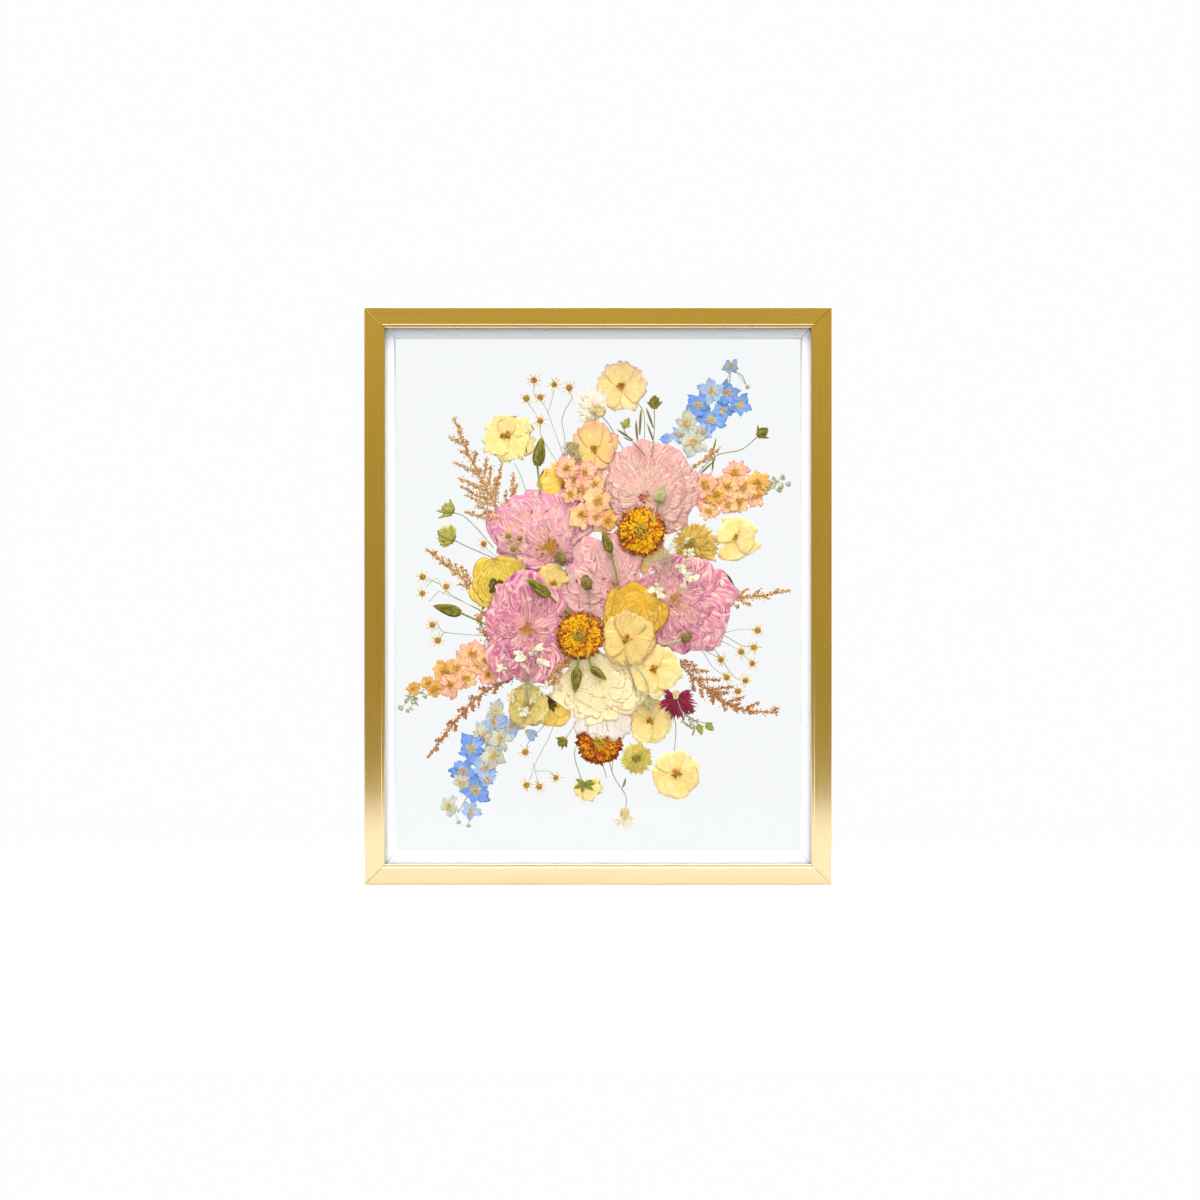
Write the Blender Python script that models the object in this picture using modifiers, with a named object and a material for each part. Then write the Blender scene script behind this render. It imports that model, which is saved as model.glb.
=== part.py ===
"""A pressed flower frame: a gilt picture moulding that holds two panes of glass a little apart.

White strips keep the panes apart, and a bouquet of pressed flowers lies between them, piled on the
rear pane. The frame stands on its bottom rail and looks along -Y. Its origin is the middle of its
footprint. Run it with: blender --background --python part.py
"""

import math

import bmesh
import bpy
from mathutils import Matrix, Vector, geometry

MM = 0.001
GAP = 0.3 * MM  # what two touching pieces keep between them

# Driving dimensions
GLASS_WIDTH = 406 * MM
GLASS_HEIGHT = 508 * MM
GLASS_THICK = 2 * MM
RAIL_FACE = 19 * MM
RAIL_DEPTH = 32 * MM
LIP_WIDTH = 6.5 * MM  # how far the rail's front lip reaches over the glass
LIP_DEPTH = 4.5 * MM
GLASS_PLAY = 0.5 * MM  # room between the glass's edge and the rail
SPACER_DEPTH = 14 * MM
SPACER_WIDTH = 13.5 * MM

# The rail's front: a chamfered outer edge, a flat face, a small step and a rounded inner bead
OUTER_CHAMFER = 0.6 * MM
STEP_START = 15.6 * MM
STEP_DEPTH = 0.8 * MM
STEP_FLAT = 1.0 * MM
BEAD_RADIUS = 1.6 * MM
BEAD_STEPS = 4

# Hardware
POINT_THICK = 0.8 * MM
POINT_WIDTH = 11 * MM
POINT_REACH = 9 * MM  # how far a glazing point lies over the glass
POINT_ROOT = 4 * MM  # how far it is driven into the rail
HANGER_LENGTH = 60 * MM
HANGER_HEIGHT = 9 * MM
HANGER_THICK = 1 * MM
HANGER_TEETH = 9
TOOTH_PITCH = 4 * MM
TOOTH_DEPTH = 1.6 * MM
NAIL_SPACING = 50 * MM
NAIL_RADIUS = 0.7 * MM
NAIL_LENGTH = 10 * MM
NAIL_HEAD_RADIUS = 1.9 * MM
NAIL_HEAD_THICK = 0.8 * MM
ROUND_STEPS = 12

# Worked out from the driving dimensions
RABBET_START = RAIL_FACE - LIP_WIDTH
WIDTH = GLASS_WIDTH + 2 * (GLASS_PLAY + RABBET_START)
HEIGHT = GLASS_HEIGHT + 2 * (GLASS_PLAY + RABBET_START)
MIDDLE_Z = HEIGHT / 2
HARDWARE_PROUD = GAP + HANGER_THICK + GAP + NAIL_HEAD_THICK
FRONT_Y = -(RAIL_DEPTH + HARDWARE_PROUD) / 2
BACK_Y = FRONT_Y + RAIL_DEPTH
FRONT_GLASS_Y = FRONT_Y + LIP_DEPTH + GAP
SPACER_Y = FRONT_GLASS_Y + GLASS_THICK + GAP
BACK_GLASS_Y = SPACER_Y + SPACER_DEPTH + GAP
POINT_Y = BACK_GLASS_Y + GLASS_THICK + GAP
HANGER_Y = BACK_Y + GAP
SLOT_ROOM = GAP  # clearance all round a glazing point's root

# Each side of the frame: its turn about Y, its length and the middle of its outer edge. Before the
# turn a side stands at the left, its width along +X and its length along Z.
SIDES = {
    "left": (0.0, HEIGHT, Vector((-WIDTH / 2, 0, MIDDLE_Z))),
    "right": (math.pi, HEIGHT, Vector((WIDTH / 2, 0, MIDDLE_Z))),
    "top": (math.pi / 2, WIDTH, Vector((0, 0, HEIGHT))),
    "bottom": (-math.pi / 2, WIDTH, Vector((0, 0, 0))),
}
# Where the glazing points sit along each side, from its middle
POINT_PLACES = {
    "left": (-130 * MM, 130 * MM),
    "right": (-130 * MM, 130 * MM),
    "top": (0.0,),
    "bottom": (0.0,),
}

# Colour, roughness and metallic value of each material
FINISHES = {
    "gilt": ((0.62, 0.46, 0.17), 0.25, 1.0),
    "glass": ((0.93, 0.96, 0.96), 0.02, 0.0),
    "white_spacer": ((0.90, 0.90, 0.91), 0.55, 0.0),
    "zinc_steel": ((0.62, 0.62, 0.60), 0.35, 1.0),
    "peony_pink": ((0.80, 0.48, 0.55), 0.75, 0.0),
    "peony_magenta": ((0.70, 0.26, 0.45), 0.75, 0.0),
    "rose_cream": ((0.89, 0.80, 0.58), 0.75, 0.0),
    "ranunculus_yellow": ((0.82, 0.62, 0.14), 0.70, 0.0),
    "strawflower_rust": ((0.55, 0.22, 0.05), 0.65, 0.0),
    "cosmos_peach": ((0.88, 0.66, 0.42), 0.72, 0.0),
    "cosmos_lemon": ((0.88, 0.80, 0.42), 0.72, 0.0),
    "stock_peach": ((0.88, 0.55, 0.24), 0.72, 0.0),
    "delphinium_blue": ((0.27, 0.45, 0.76), 0.65, 0.0),
    "astilbe_tan": ((0.58, 0.30, 0.12), 0.80, 0.0),
    "scabiosa_gold": ((0.72, 0.55, 0.16), 0.75, 0.0),
    "cornflower_burgundy": ((0.36, 0.05, 0.17), 0.70, 0.0),
    "lace_white": ((0.82, 0.81, 0.66), 0.75, 0.0),
}

# How thick each kind of flower is once it is pressed
THICKNESS = {
    "peony_pink": 1.5 * MM,
    "peony_magenta": 1.5 * MM,
    "rose_cream": 1.5 * MM,
    "ranunculus_yellow": 1.2 * MM,
    "strawflower_rust": 2.0 * MM,
    "cosmos_peach": 0.6 * MM,
    "cosmos_lemon": 0.6 * MM,
    "stock_peach": 0.9 * MM,
    "delphinium_blue": 0.7 * MM,
    "astilbe_tan": 0.7 * MM,
    "scabiosa_gold": 1.2 * MM,
    "cornflower_burgundy": 0.9 * MM,
    "lace_white": 0.6 * MM,
}


def clear_scene():
    for obj in list(bpy.data.objects):
        bpy.data.objects.remove(obj, do_unlink=True)


def new_collection(name):
    collection = bpy.data.collections.new(name)
    bpy.context.scene.collection.children.link(collection)
    return collection


def make_materials():
    """One Principled material for each entry of FINISHES."""
    made = {}
    for name, (colour, roughness, metallic) in FINISHES.items():
        material = bpy.data.materials.new(name)
        material.use_nodes = True
        shader = material.node_tree.nodes["Principled BSDF"]
        shader.inputs["Base Color"].default_value = (*colour, 1)
        shader.inputs["Roughness"].default_value = roughness
        shader.inputs["Metallic"].default_value = metallic
        if name == "glass":
            shader.inputs["Transmission Weight"].default_value = 1.0
            shader.inputs["IOR"].default_value = 1.5
        made[name] = material
    return made


def add_part(name, data, material):
    data.materials.append(MATERIALS[material])
    part = bpy.data.objects.new(name, data)
    PARTS.objects.link(part)
    return part


def outline_curve(name, loops, thickness):
    """A flat plate: closed outlines in local XY, the first the edge and the rest holes."""
    curve = bpy.data.curves.new(name, "CURVE")
    curve.dimensions = "2D"
    curve.fill_mode = "BOTH"
    curve.extrude = thickness / 2
    for loop in loops:
        spline = curve.splines.new("POLY")
        spline.points.add(len(loop) - 1)
        for point, (x, y) in zip(spline.points, loop):
            point.co = (x, y, 0, 1)
        spline.use_cyclic_u = True
    return curve


def curve_to_mesh(name, curve):
    """The mesh that Blender makes from a curve, with its loose caps welded on."""
    holder = bpy.data.objects.new(name + "_outline", curve)
    bpy.context.scene.collection.objects.link(holder)
    graph = bpy.context.evaluated_depsgraph_get()
    mesh = bpy.data.meshes.new_from_object(holder.evaluated_get(graph))
    mesh.name = name
    bpy.data.objects.remove(holder, do_unlink=True)
    shape = bmesh.new()
    shape.from_mesh(mesh)
    bmesh.ops.remove_doubles(shape, verts=shape.verts, dist=0.001 * MM)
    shape.to_mesh(mesh)
    shape.free()
    return mesh


def cut_mitres(mesh, length):
    """Cuts both ends of a strip at 45 degrees, each back by half of the gap in the joint."""
    shape = bmesh.new()
    shape.from_mesh(mesh)
    setback = GAP / 2 * math.sqrt(2)
    for end in (-1, 1):
        everything = shape.verts[:] + shape.edges[:] + shape.faces[:]
        cut = bmesh.ops.bisect_plane(
            shape,
            geom=everything,
            dist=0.0001 * MM,
            plane_co=(0, 0, end * (length / 2 - setback)),
            plane_no=Vector((1, 0, end)).normalized(),
            clear_outer=True,
        )
        rim = [item for item in cut["geom_cut"] if isinstance(item, bmesh.types.BMEdge)]
        bmesh.ops.holes_fill(shape, edges=rim)
    bmesh.ops.recalc_face_normals(shape, faces=shape.faces)
    shape.to_mesh(mesh)
    shape.free()


def mitred_strip(name, profile, side, material):
    """One side of a picture frame. The profile is (width from the outer edge, depth from FRONT_Y)."""
    turn, length, outer_edge = SIDES[side]
    mesh = curve_to_mesh(name, outline_curve(name, [profile], length))
    cut_mitres(mesh, length)
    strip = add_part(name, mesh, material)
    strip.location = outer_edge + Vector((0, FRONT_Y, 0))
    strip.rotation_euler = (0, turn, 0)
    return strip


def rail_profile():
    bead_start = STEP_START + STEP_DEPTH + STEP_FLAT
    bead_reach = RAIL_FACE - bead_start
    points = [(0, OUTER_CHAMFER), (OUTER_CHAMFER, 0), (STEP_START, 0)]
    points.append((STEP_START + STEP_DEPTH, STEP_DEPTH))
    for step in range(BEAD_STEPS + 1):
        angle = math.pi / 2 * step / BEAD_STEPS
        across = bead_start + bead_reach * math.sin(angle)
        down = STEP_DEPTH + BEAD_RADIUS * (1 - math.cos(angle))
        points.append((across, down))
    points += [
        (RAIL_FACE, LIP_DEPTH),
        (RABBET_START, LIP_DEPTH),
        (RABBET_START, RAIL_DEPTH),
        (OUTER_CHAMFER, RAIL_DEPTH),
        (0, RAIL_DEPTH - OUTER_CHAMFER),
    ]
    return points


def spacer_profile():
    """A rectangle with its front inner edge taken off, on the glass's outer edge."""
    outer = RABBET_START + GLASS_PLAY
    inner = outer + SPACER_WIDTH
    front = SPACER_Y - FRONT_Y
    back = front + SPACER_DEPTH
    return [
        (outer, front),
        (inner - OUTER_CHAMFER, front),
        (inner, front + OUTER_CHAMFER),
        (inner, back),
        (outer, back),
    ]


def add_pane(name, front_y):
    shape = bmesh.new()
    size = Matrix.Diagonal((GLASS_WIDTH, GLASS_THICK, GLASS_HEIGHT, 1))
    bmesh.ops.create_cube(shape, size=1, matrix=size)
    mesh = bpy.data.meshes.new(name)
    shape.to_mesh(mesh)
    shape.free()
    pane = add_part(name, mesh, "glass")
    pane.location = (0, front_y + GLASS_THICK / 2, MIDDLE_Z)
    seam = pane.modifiers.new("seamed_edge", "BEVEL")
    seam.width = 0.3 * MM
    seam.segments = 1


def cut_with(part, name, mesh, matrix):
    """Cuts the mesh's shape out of the part, and keeps the cutter as a hidden guide."""
    cutter = bpy.data.objects.new(name, mesh)
    CUTTERS.objects.link(cutter)
    cutter.matrix_world = matrix
    cutter.hide_render = True
    cutter.display_type = "WIRE"
    cut = part.modifiers.new(name, "BOOLEAN")
    cut.operation = "DIFFERENCE"
    cut.object = cutter


def side_matrix(side, along):
    """From a side's own frame, at a place along its length, to the world."""
    turn, _, outer_edge = SIDES[side]
    placed = Matrix.Translation(outer_edge) @ Matrix.Rotation(turn, 4, "Y")
    return placed @ Matrix.Translation((0, 0, along))


def point_outline():
    """A glazing point seen from behind: a straight root and a rounded nose."""
    half = POINT_WIDTH / 2
    root = RABBET_START - POINT_ROOT
    nose = RABBET_START + POINT_REACH - half
    outline = [(root, half), (root, -half)]
    for step in range(ROUND_STEPS // 2 + 1):
        angle = math.pi * step / (ROUND_STEPS // 2) - math.pi / 2
        outline.append((nose + half * math.cos(angle), half * math.sin(angle)))
    return outline


def add_glazing_points(rails):
    """Flat tabs driven into the rails, which hold the panes and the spacers in."""
    number = 0
    for side, places in POINT_PLACES.items():
        for along in places:
            number += 1
            name = f"glazing_point_{number}"
            tab = add_part(name, outline_curve(name, [point_outline()], POINT_THICK), "zinc_steel")
            lay_flat = Matrix.Rotation(math.pi / 2, 4, "X")
            depth = Matrix.Translation((0, POINT_Y + POINT_THICK / 2, 0))
            tab.matrix_world = side_matrix(side, along) @ depth @ lay_flat
            slot = bpy.data.meshes.new(name + "_slot")
            shape = bmesh.new()
            size = (
                2 * (POINT_ROOT + SLOT_ROOM),
                POINT_THICK + 2 * SLOT_ROOM,
                POINT_WIDTH + 2 * SLOT_ROOM,
                1,
            )
            bmesh.ops.create_cube(shape, size=1, matrix=Matrix.Diagonal(size))
            shape.to_mesh(slot)
            shape.free()
            mouth = Matrix.Translation((RABBET_START, POINT_Y + POINT_THICK / 2, 0))
            cut_with(rails[side], name + "_slot", slot, side_matrix(side, along) @ mouth)


def circle(radius, centre_x, centre_y, steps=ROUND_STEPS):
    turns = [2 * math.pi * step / steps for step in range(steps)]
    return [(centre_x + radius * math.cos(a), centre_y + radius * math.sin(a)) for a in turns]


def hanger_outline():
    """A strip with round ends, and a row of teeth along its lower edge for the wall hook."""
    half_length = HANGER_LENGTH / 2
    half = HANGER_HEIGHT / 2
    outline = []
    for end in (-1, 1):
        for step in range(ROUND_STEPS // 2 + 1):
            angle = math.pi * step / (ROUND_STEPS // 2)
            x = end * (half_length - half + half * math.sin(angle))
            outline.append((x, end * half * math.cos(angle)))
    first = -HANGER_TEETH / 2 * TOOTH_PITCH
    teeth = []
    for tooth in range(HANGER_TEETH):
        left = first + tooth * TOOTH_PITCH
        teeth.append((left, half - TOOTH_DEPTH))
        teeth.append((left + TOOTH_PITCH / 2, half))
    teeth.append((-first, half - TOOTH_DEPTH))
    flat_end = [(first, half), *teeth[0:1]]
    return outline + [(-x, y) for x, y in flat_end + teeth[1:] + [(-first, half)]]


def add_hanger(top_rail):
    """A sawtooth hanger nailed to the middle of the top rail's back."""
    height = HEIGHT - RABBET_START / 2
    nails_x = (-NAIL_SPACING / 2, NAIL_SPACING / 2)
    holes = [circle(NAIL_RADIUS + GAP, x, 0) for x in nails_x]
    plate = outline_curve("sawtooth_hanger", [hanger_outline(), *holes], HANGER_THICK)
    hanger = add_part("sawtooth_hanger", plate, "zinc_steel")
    hanger.location = (0, HANGER_Y + HANGER_THICK / 2, height)
    hanger.rotation_euler = (-math.pi / 2, 0, 0)
    for side, x in zip(("left", "right"), nails_x):
        add_nail(f"hanger_nail_{side}", x, height, top_rail)


def add_nail(name, x, height, rail):
    """A nail driven forwards through the hanger: a profile turned about local Z."""
    under_head = NAIL_HEAD_THICK
    shape = bmesh.new()
    profile = [
        (0, under_head),
        (NAIL_HEAD_RADIUS, under_head),
        (NAIL_HEAD_RADIUS, 0),
        (NAIL_RADIUS, 0),
        (NAIL_RADIUS, -NAIL_LENGTH + 2 * NAIL_RADIUS),
        (0, -NAIL_LENGTH),
    ]
    verts = [shape.verts.new((radius, 0, z)) for radius, z in profile]
    for first, second in zip(verts, verts[1:]):
        shape.edges.new((first, second))
    mesh = bpy.data.meshes.new(name)
    shape.to_mesh(mesh)
    shape.free()
    nail = add_part(name, mesh, "zinc_steel")
    head_y = HANGER_Y + HANGER_THICK + GAP
    nail.matrix_world = Matrix.Translation((x, head_y, height)) @ Matrix.Rotation(-math.pi / 2, 4, "X")
    turned = nail.modifiers.new("turned", "SCREW")
    turned.axis = "Z"
    turned.steps = ROUND_STEPS
    turned.render_steps = ROUND_STEPS
    turned.use_merge_vertices = True
    turned.merge_threshold = 0.01 * MM
    hole = bpy.data.meshes.new(name + "_hole")
    drill = bmesh.new()
    bmesh.ops.create_cone(
        drill,
        cap_ends=True,
        segments=ROUND_STEPS,
        radius1=NAIL_RADIUS + GAP,
        radius2=NAIL_RADIUS + GAP,
        depth=2 * NAIL_LENGTH,
    )
    drill.to_mesh(hole)
    drill.free()
    lay_back = Matrix.Rotation(math.pi / 2, 4, "X")
    cut_with(rail, name + "_hole", hole, Matrix.Translation((x, BACK_Y, height)) @ lay_back)


def bloom(x, z, radius, petals, notch, stretch=1.0, turn=0.0):
    """A face-on flower, in millimetres: petals with round tips and sharp notches between them."""
    outline = []
    steps = petals * 5
    for step in range(steps):
        angle = 2 * math.pi * step / steps
        petal = abs(math.cos(petals * angle / 2))
        wave = 1 + 0.03 * math.sin(3 * angle + x) + 0.02 * math.sin(5 * angle + z)
        reach = radius * wave * (1 - notch * (1 - petal))
        direction = angle + turn
        outline.append((x + reach * math.cos(direction), z + stretch * reach * math.sin(direction)))
    return [Vector(point) * MM for point in outline]


def spray(spine, widths, lobes, notch):
    """A long spray, in millimetres: a spine of points with a half width at each, and lobed sides."""
    centre = [Vector(point) for point in spine]
    steps = 3 * lobes
    left = []
    right = []
    for step in range(steps + 1):
        along = step / steps * (len(centre) - 1)
        index = min(int(along), len(centre) - 2)
        part = along - index
        place = centre[index].lerp(centre[index + 1], part)
        half = widths[index] * (1 - part) + widths[index + 1] * part
        half *= 1 - notch * (1 - abs(math.sin(math.pi * lobes * step / steps)))
        before = centre[max(index - 1, 0)]
        after = centre[min(index + 2, len(centre) - 1)]
        across = (after - before).orthogonal().normalized()
        left.append(place + across * half)
        right.append(place - across * half)
    return [point * MM for point in left + right[::-1]]


def flowers():
    """Each flower's name, kind and outline in X and Z, from the rear of the pile to its front."""
    yield "astilbe_upper_left", "astilbe_tan", spray(
        [(-135, 432), (-121, 400), (-104, 366), (-88, 342)], [2, 9, 20, 14], 7, 0.35
    )
    yield "astilbe_left", "astilbe_tan", spray(
        [(-160, 310), (-141, 294), (-120, 272)], [2, 7, 10], 5, 0.35
    )
    yield "astilbe_lower_left", "astilbe_tan", spray(
        [(-158, 117), (-135, 146), (-112, 170), (-84, 188)], [2, 8, 10, 7], 6, 0.35
    )
    yield "astilbe_right", "astilbe_tan", spray(
        [(177, 272), (150, 266), (130, 265), (112, 264)], [2, 8, 11, 11], 5, 0.35
    )
    yield "astilbe_lower_right", "astilbe_tan", spray(
        [(165, 158), (136, 161), (108, 176), (76, 203)], [2, 9, 19, 16], 7, 0.35
    )
    yield "delphinium_upper", "delphinium_blue", spray(
        [(126, 486), (119, 458), (102, 438), (86, 416), (77, 400)], [3, 18, 21, 23, 18], 5, 0.3
    )
    yield "delphinium_lower", "delphinium_blue", spray(
        [(-132, 60), (-118, 84), (-109, 112), (-99, 140), (-91, 166)], [13, 20, 24, 24, 14], 5, 0.3
    )
    yield "stock_right", "stock_peach", spray(
        [(180, 376), (155, 369), (132, 368), (106, 367), (86, 366)], [2, 12, 21, 21, 18], 5, 0.25
    )
    yield "stock_left", "stock_peach", spray(
        [(-181, 167), (-165, 180), (-146, 188), (-122, 199), (-96, 200)], [3, 8, 17, 22, 16], 5, 0.25
    )
    yield "cosmos_peach_top", "cosmos_peach", bloom(22.5, 463, 24.5, 8, 0.10)
    yield "cosmos_yellow_left", "cosmos_lemon", bloom(-85, 413.5, 24.5, 8, 0.18, 0.88)
    yield "cornflower_white_top", "lace_white", bloom(-5, 444, 14, 9, 0.20)
    yield "cosmos_side_view", "cosmos_lemon", bloom(129.5, 320, 18, 4, 0.16, 1.2)
    yield "cosmos_lemon_bottom", "cosmos_lemon", bloom(74, 100.5, 23, 8, 0.10)
    yield "half_closed_bloom", "cosmos_lemon", bloom(-9, 85, 13, 5, 0.16, 0.8)
    yield "cornflower_white_bottom", "lace_white", bloom(25, 60, 9, 7, 0.25)
    yield "scabiosa_gold", "scabiosa_gold", bloom(92, 313, 22, 9, 0.14)
    yield "cosmos_drooping", "cosmos_lemon", bloom(-42, 157, 17, 5, 0.16, 0.95)
    yield "strawflower_bottom", "strawflower_rust", bloom(1, 131, 23, 12, 0.08)
    yield "scabiosa_green", "scabiosa_gold", bloom(36, 115, 15, 9, 0.12)
    yield "cosmos_lemon_lower", "cosmos_lemon", bloom(49, 151, 22, 8, 0.10)
    yield "cosmos_peach_middle", "cosmos_peach", bloom(-5, 407, 24, 8, 0.12)
    yield "cosmos_yellow_behind", "cosmos_lemon", bloom(-38, 377, 16, 6, 0.10)
    yield "peony_pink_top", "peony_pink", bloom(48, 365, 45, 9, 0.08)
    yield "peony_pink_left", "peony_pink", bloom(-60, 328, 42, 9, 0.08)
    yield "stock_middle", "stock_peach", spray(
        [(-33, 396), (-18, 380), (-5, 360), (6, 340)], [8, 16, 20, 12], 4, 0.25
    )
    yield "peony_pink_middle", "peony_pink", bloom(1, 292, 38, 9, 0.08)
    yield "strawflower_top", "strawflower_rust", bloom(41, 326, 24, 12, 0.08)
    yield "cosmos_cream_small", "cosmos_peach", bloom(-45, 284, 13, 6, 0.12)
    yield "ranunculus_yellow", "ranunculus_yellow", bloom(-93.5, 278, 29, 7, 0.06)
    yield "peony_magenta_right", "peony_magenta", bloom(80, 256, 43, 10, 0.10, 1.18)
    yield "peony_magenta_left", "peony_magenta", bloom(-70, 235, 38, 10, 0.10, 1.35)
    yield "ranunculus_gold", "ranunculus_yellow", bloom(32, 249, 32, 7, 0.06)
    yield "cosmos_under_lace", "cosmos_lemon", bloom(-65, 164, 19, 6, 0.12, 1.1)
    yield "rose_cream", "rose_cream", bloom(3, 179, 45, 9, 0.08, 0.9)
    yield "cosmos_lemon_right", "cosmos_lemon", bloom(53, 198, 24, 8, 0.10)
    yield "cosmos_blush", "cosmos_peach", bloom(27, 226.5, 25.5, 8, 0.08)
    yield "strawflower_middle", "strawflower_rust", bloom(-17, 230, 23.5, 12, 0.08)
    yield "lace_lower", "lace_white", bloom(-65, 185, 28, 9, 0.62)
    yield "lace_upper", "lace_white", bloom(61, 301, 30, 9, 0.62)
    yield "cornflower_burgundy", "cornflower_burgundy", bloom(75, 168, 15, 10, 0.28)


def holds(outline, point):
    """True where the point is inside the closed outline, by counting the edges to its right."""
    inside = False
    for a, b in zip(outline, outline[1:] + outline[:1]):
        if (a.y > point.y) != (b.y > point.y):
            crossing = a.x + (point.y - a.y) / (b.y - a.y) * (b.x - a.x)
            inside ^= crossing > point.x
    return inside


def overlaps(first, second):
    """True where two closed outlines cross, or one holds the other."""
    for a, b in zip(first, first[1:] + first[:1]):
        for c, d in zip(second, second[1:] + second[:1]):
            if geometry.intersect_line_line_2d(a, b, c, d):
                return True
    return holds(first, second[0]) or holds(second, first[0])


def add_bouquet():
    """Lays each flower on the rear pane, or on the flowers already there that it covers."""
    laid = []
    for name, kind, outline in flowers():
        under = [front for other, front in laid if overlaps(outline, other)]
        back = min(under, default=BACK_GLASS_Y) - GAP
        front = back - THICKNESS[kind]
        flower = add_part(name, outline_curve(name, [outline], THICKNESS[kind]), kind)
        flower.location = (0, (front + back) / 2, 0)
        flower.rotation_euler = (math.pi / 2, 0, 0)
        laid.append((outline, front))


clear_scene()
PARTS = new_collection("pressed_flower_frame")
CUTTERS = new_collection("cutters")
MATERIALS = make_materials()
RAILS = {side: mitred_strip(f"rail_{side}", rail_profile(), side, "gilt") for side in SIDES}
for side_name in SIDES:
    mitred_strip(f"spacer_{side_name}", spacer_profile(), side_name, "white_spacer")
add_pane("glass_front", FRONT_GLASS_Y)
add_pane("glass_back", BACK_GLASS_Y)
add_glazing_points(RAILS)
add_hanger(RAILS["top"])
add_bouquet()
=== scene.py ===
# %% [markdown]
# # A bouquet pressed between two panes of glass
# The object is a gilt picture moulding with two panes in it, held a little apart by white strips. A
# bouquet of pressed flowers lies between the panes. The solid model gives every rail, strip, pane and
# flower its place. This script models the things that the eye sees there: crisp gilt edges, clear
# glass, and petals as thin as paper with their veins, folds and stamens.

# %% Load the frame
import math

import bpy
import numpy as np
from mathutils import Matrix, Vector


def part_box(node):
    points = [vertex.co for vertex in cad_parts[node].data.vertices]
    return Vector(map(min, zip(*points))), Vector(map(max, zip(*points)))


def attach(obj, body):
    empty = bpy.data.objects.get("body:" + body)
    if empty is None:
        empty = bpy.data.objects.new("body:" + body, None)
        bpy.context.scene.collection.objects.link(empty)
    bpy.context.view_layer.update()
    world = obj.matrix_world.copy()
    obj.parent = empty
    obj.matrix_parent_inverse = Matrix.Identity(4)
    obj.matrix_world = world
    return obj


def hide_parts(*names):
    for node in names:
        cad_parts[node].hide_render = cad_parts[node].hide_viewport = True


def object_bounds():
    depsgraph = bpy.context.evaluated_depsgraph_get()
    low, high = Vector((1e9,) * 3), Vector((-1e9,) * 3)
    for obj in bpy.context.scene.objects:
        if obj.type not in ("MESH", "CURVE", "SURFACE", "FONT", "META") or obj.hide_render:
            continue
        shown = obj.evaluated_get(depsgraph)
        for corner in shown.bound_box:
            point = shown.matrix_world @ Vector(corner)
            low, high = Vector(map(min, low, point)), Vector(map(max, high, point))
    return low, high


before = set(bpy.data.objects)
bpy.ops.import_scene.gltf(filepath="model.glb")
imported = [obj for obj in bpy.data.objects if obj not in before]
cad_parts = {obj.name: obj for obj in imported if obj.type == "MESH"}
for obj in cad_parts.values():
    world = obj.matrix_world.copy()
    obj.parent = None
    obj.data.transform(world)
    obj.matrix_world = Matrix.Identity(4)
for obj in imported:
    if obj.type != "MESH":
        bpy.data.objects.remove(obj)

CAD_BOX = [list(corner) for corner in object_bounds()]
MM = 0.001
bpy.ops.object.select_all(action="DESELECT")
print("solid model:", [round(side / MM, 1) for side in Vector(CAD_BOX[1]) - Vector(CAD_BOX[0])], "mm")

# %% [markdown]
# ## A place to write shader sums
# A finish is a small tree of nodes. Placing each Math node by hand hides the idea behind wiring, so
# one class wraps a socket and lets Python's own operators add the nodes. The other class holds a
# material, and has one method that adds any node at all.


# %% Links and finishes
class Link:
    """An output socket. Sums written with it become Math nodes."""

    def __init__(self, finish, socket):
        self.finish = finish
        self.socket = socket

    def sum(self, operation, *values):
        return self.finish.node("ShaderNodeMath", {"operation": operation}, dict(enumerate(values)))

    def __add__(self, other):
        return self.sum("ADD", self, other)

    def __sub__(self, other):
        return self.sum("SUBTRACT", self, other)

    def __rsub__(self, other):
        return self.sum("SUBTRACT", other, self)

    def __mul__(self, other):
        return self.sum("MULTIPLY", self, other)

    def __abs__(self):
        return self.sum("ABSOLUTE", self)

    __radd__ = __add__
    __rmul__ = __mul__

    def most(self, other):
        return self.sum("MAXIMUM", self, other)

    def rise(self, low, high):
        """0 below low, 1 above high and a smooth step between."""
        return self.finish.node("ShaderNodeMapRange", {"interpolation_type": "SMOOTHSTEP"},
            {"Value": self, "From Min": low, "From Max": high})


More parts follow.
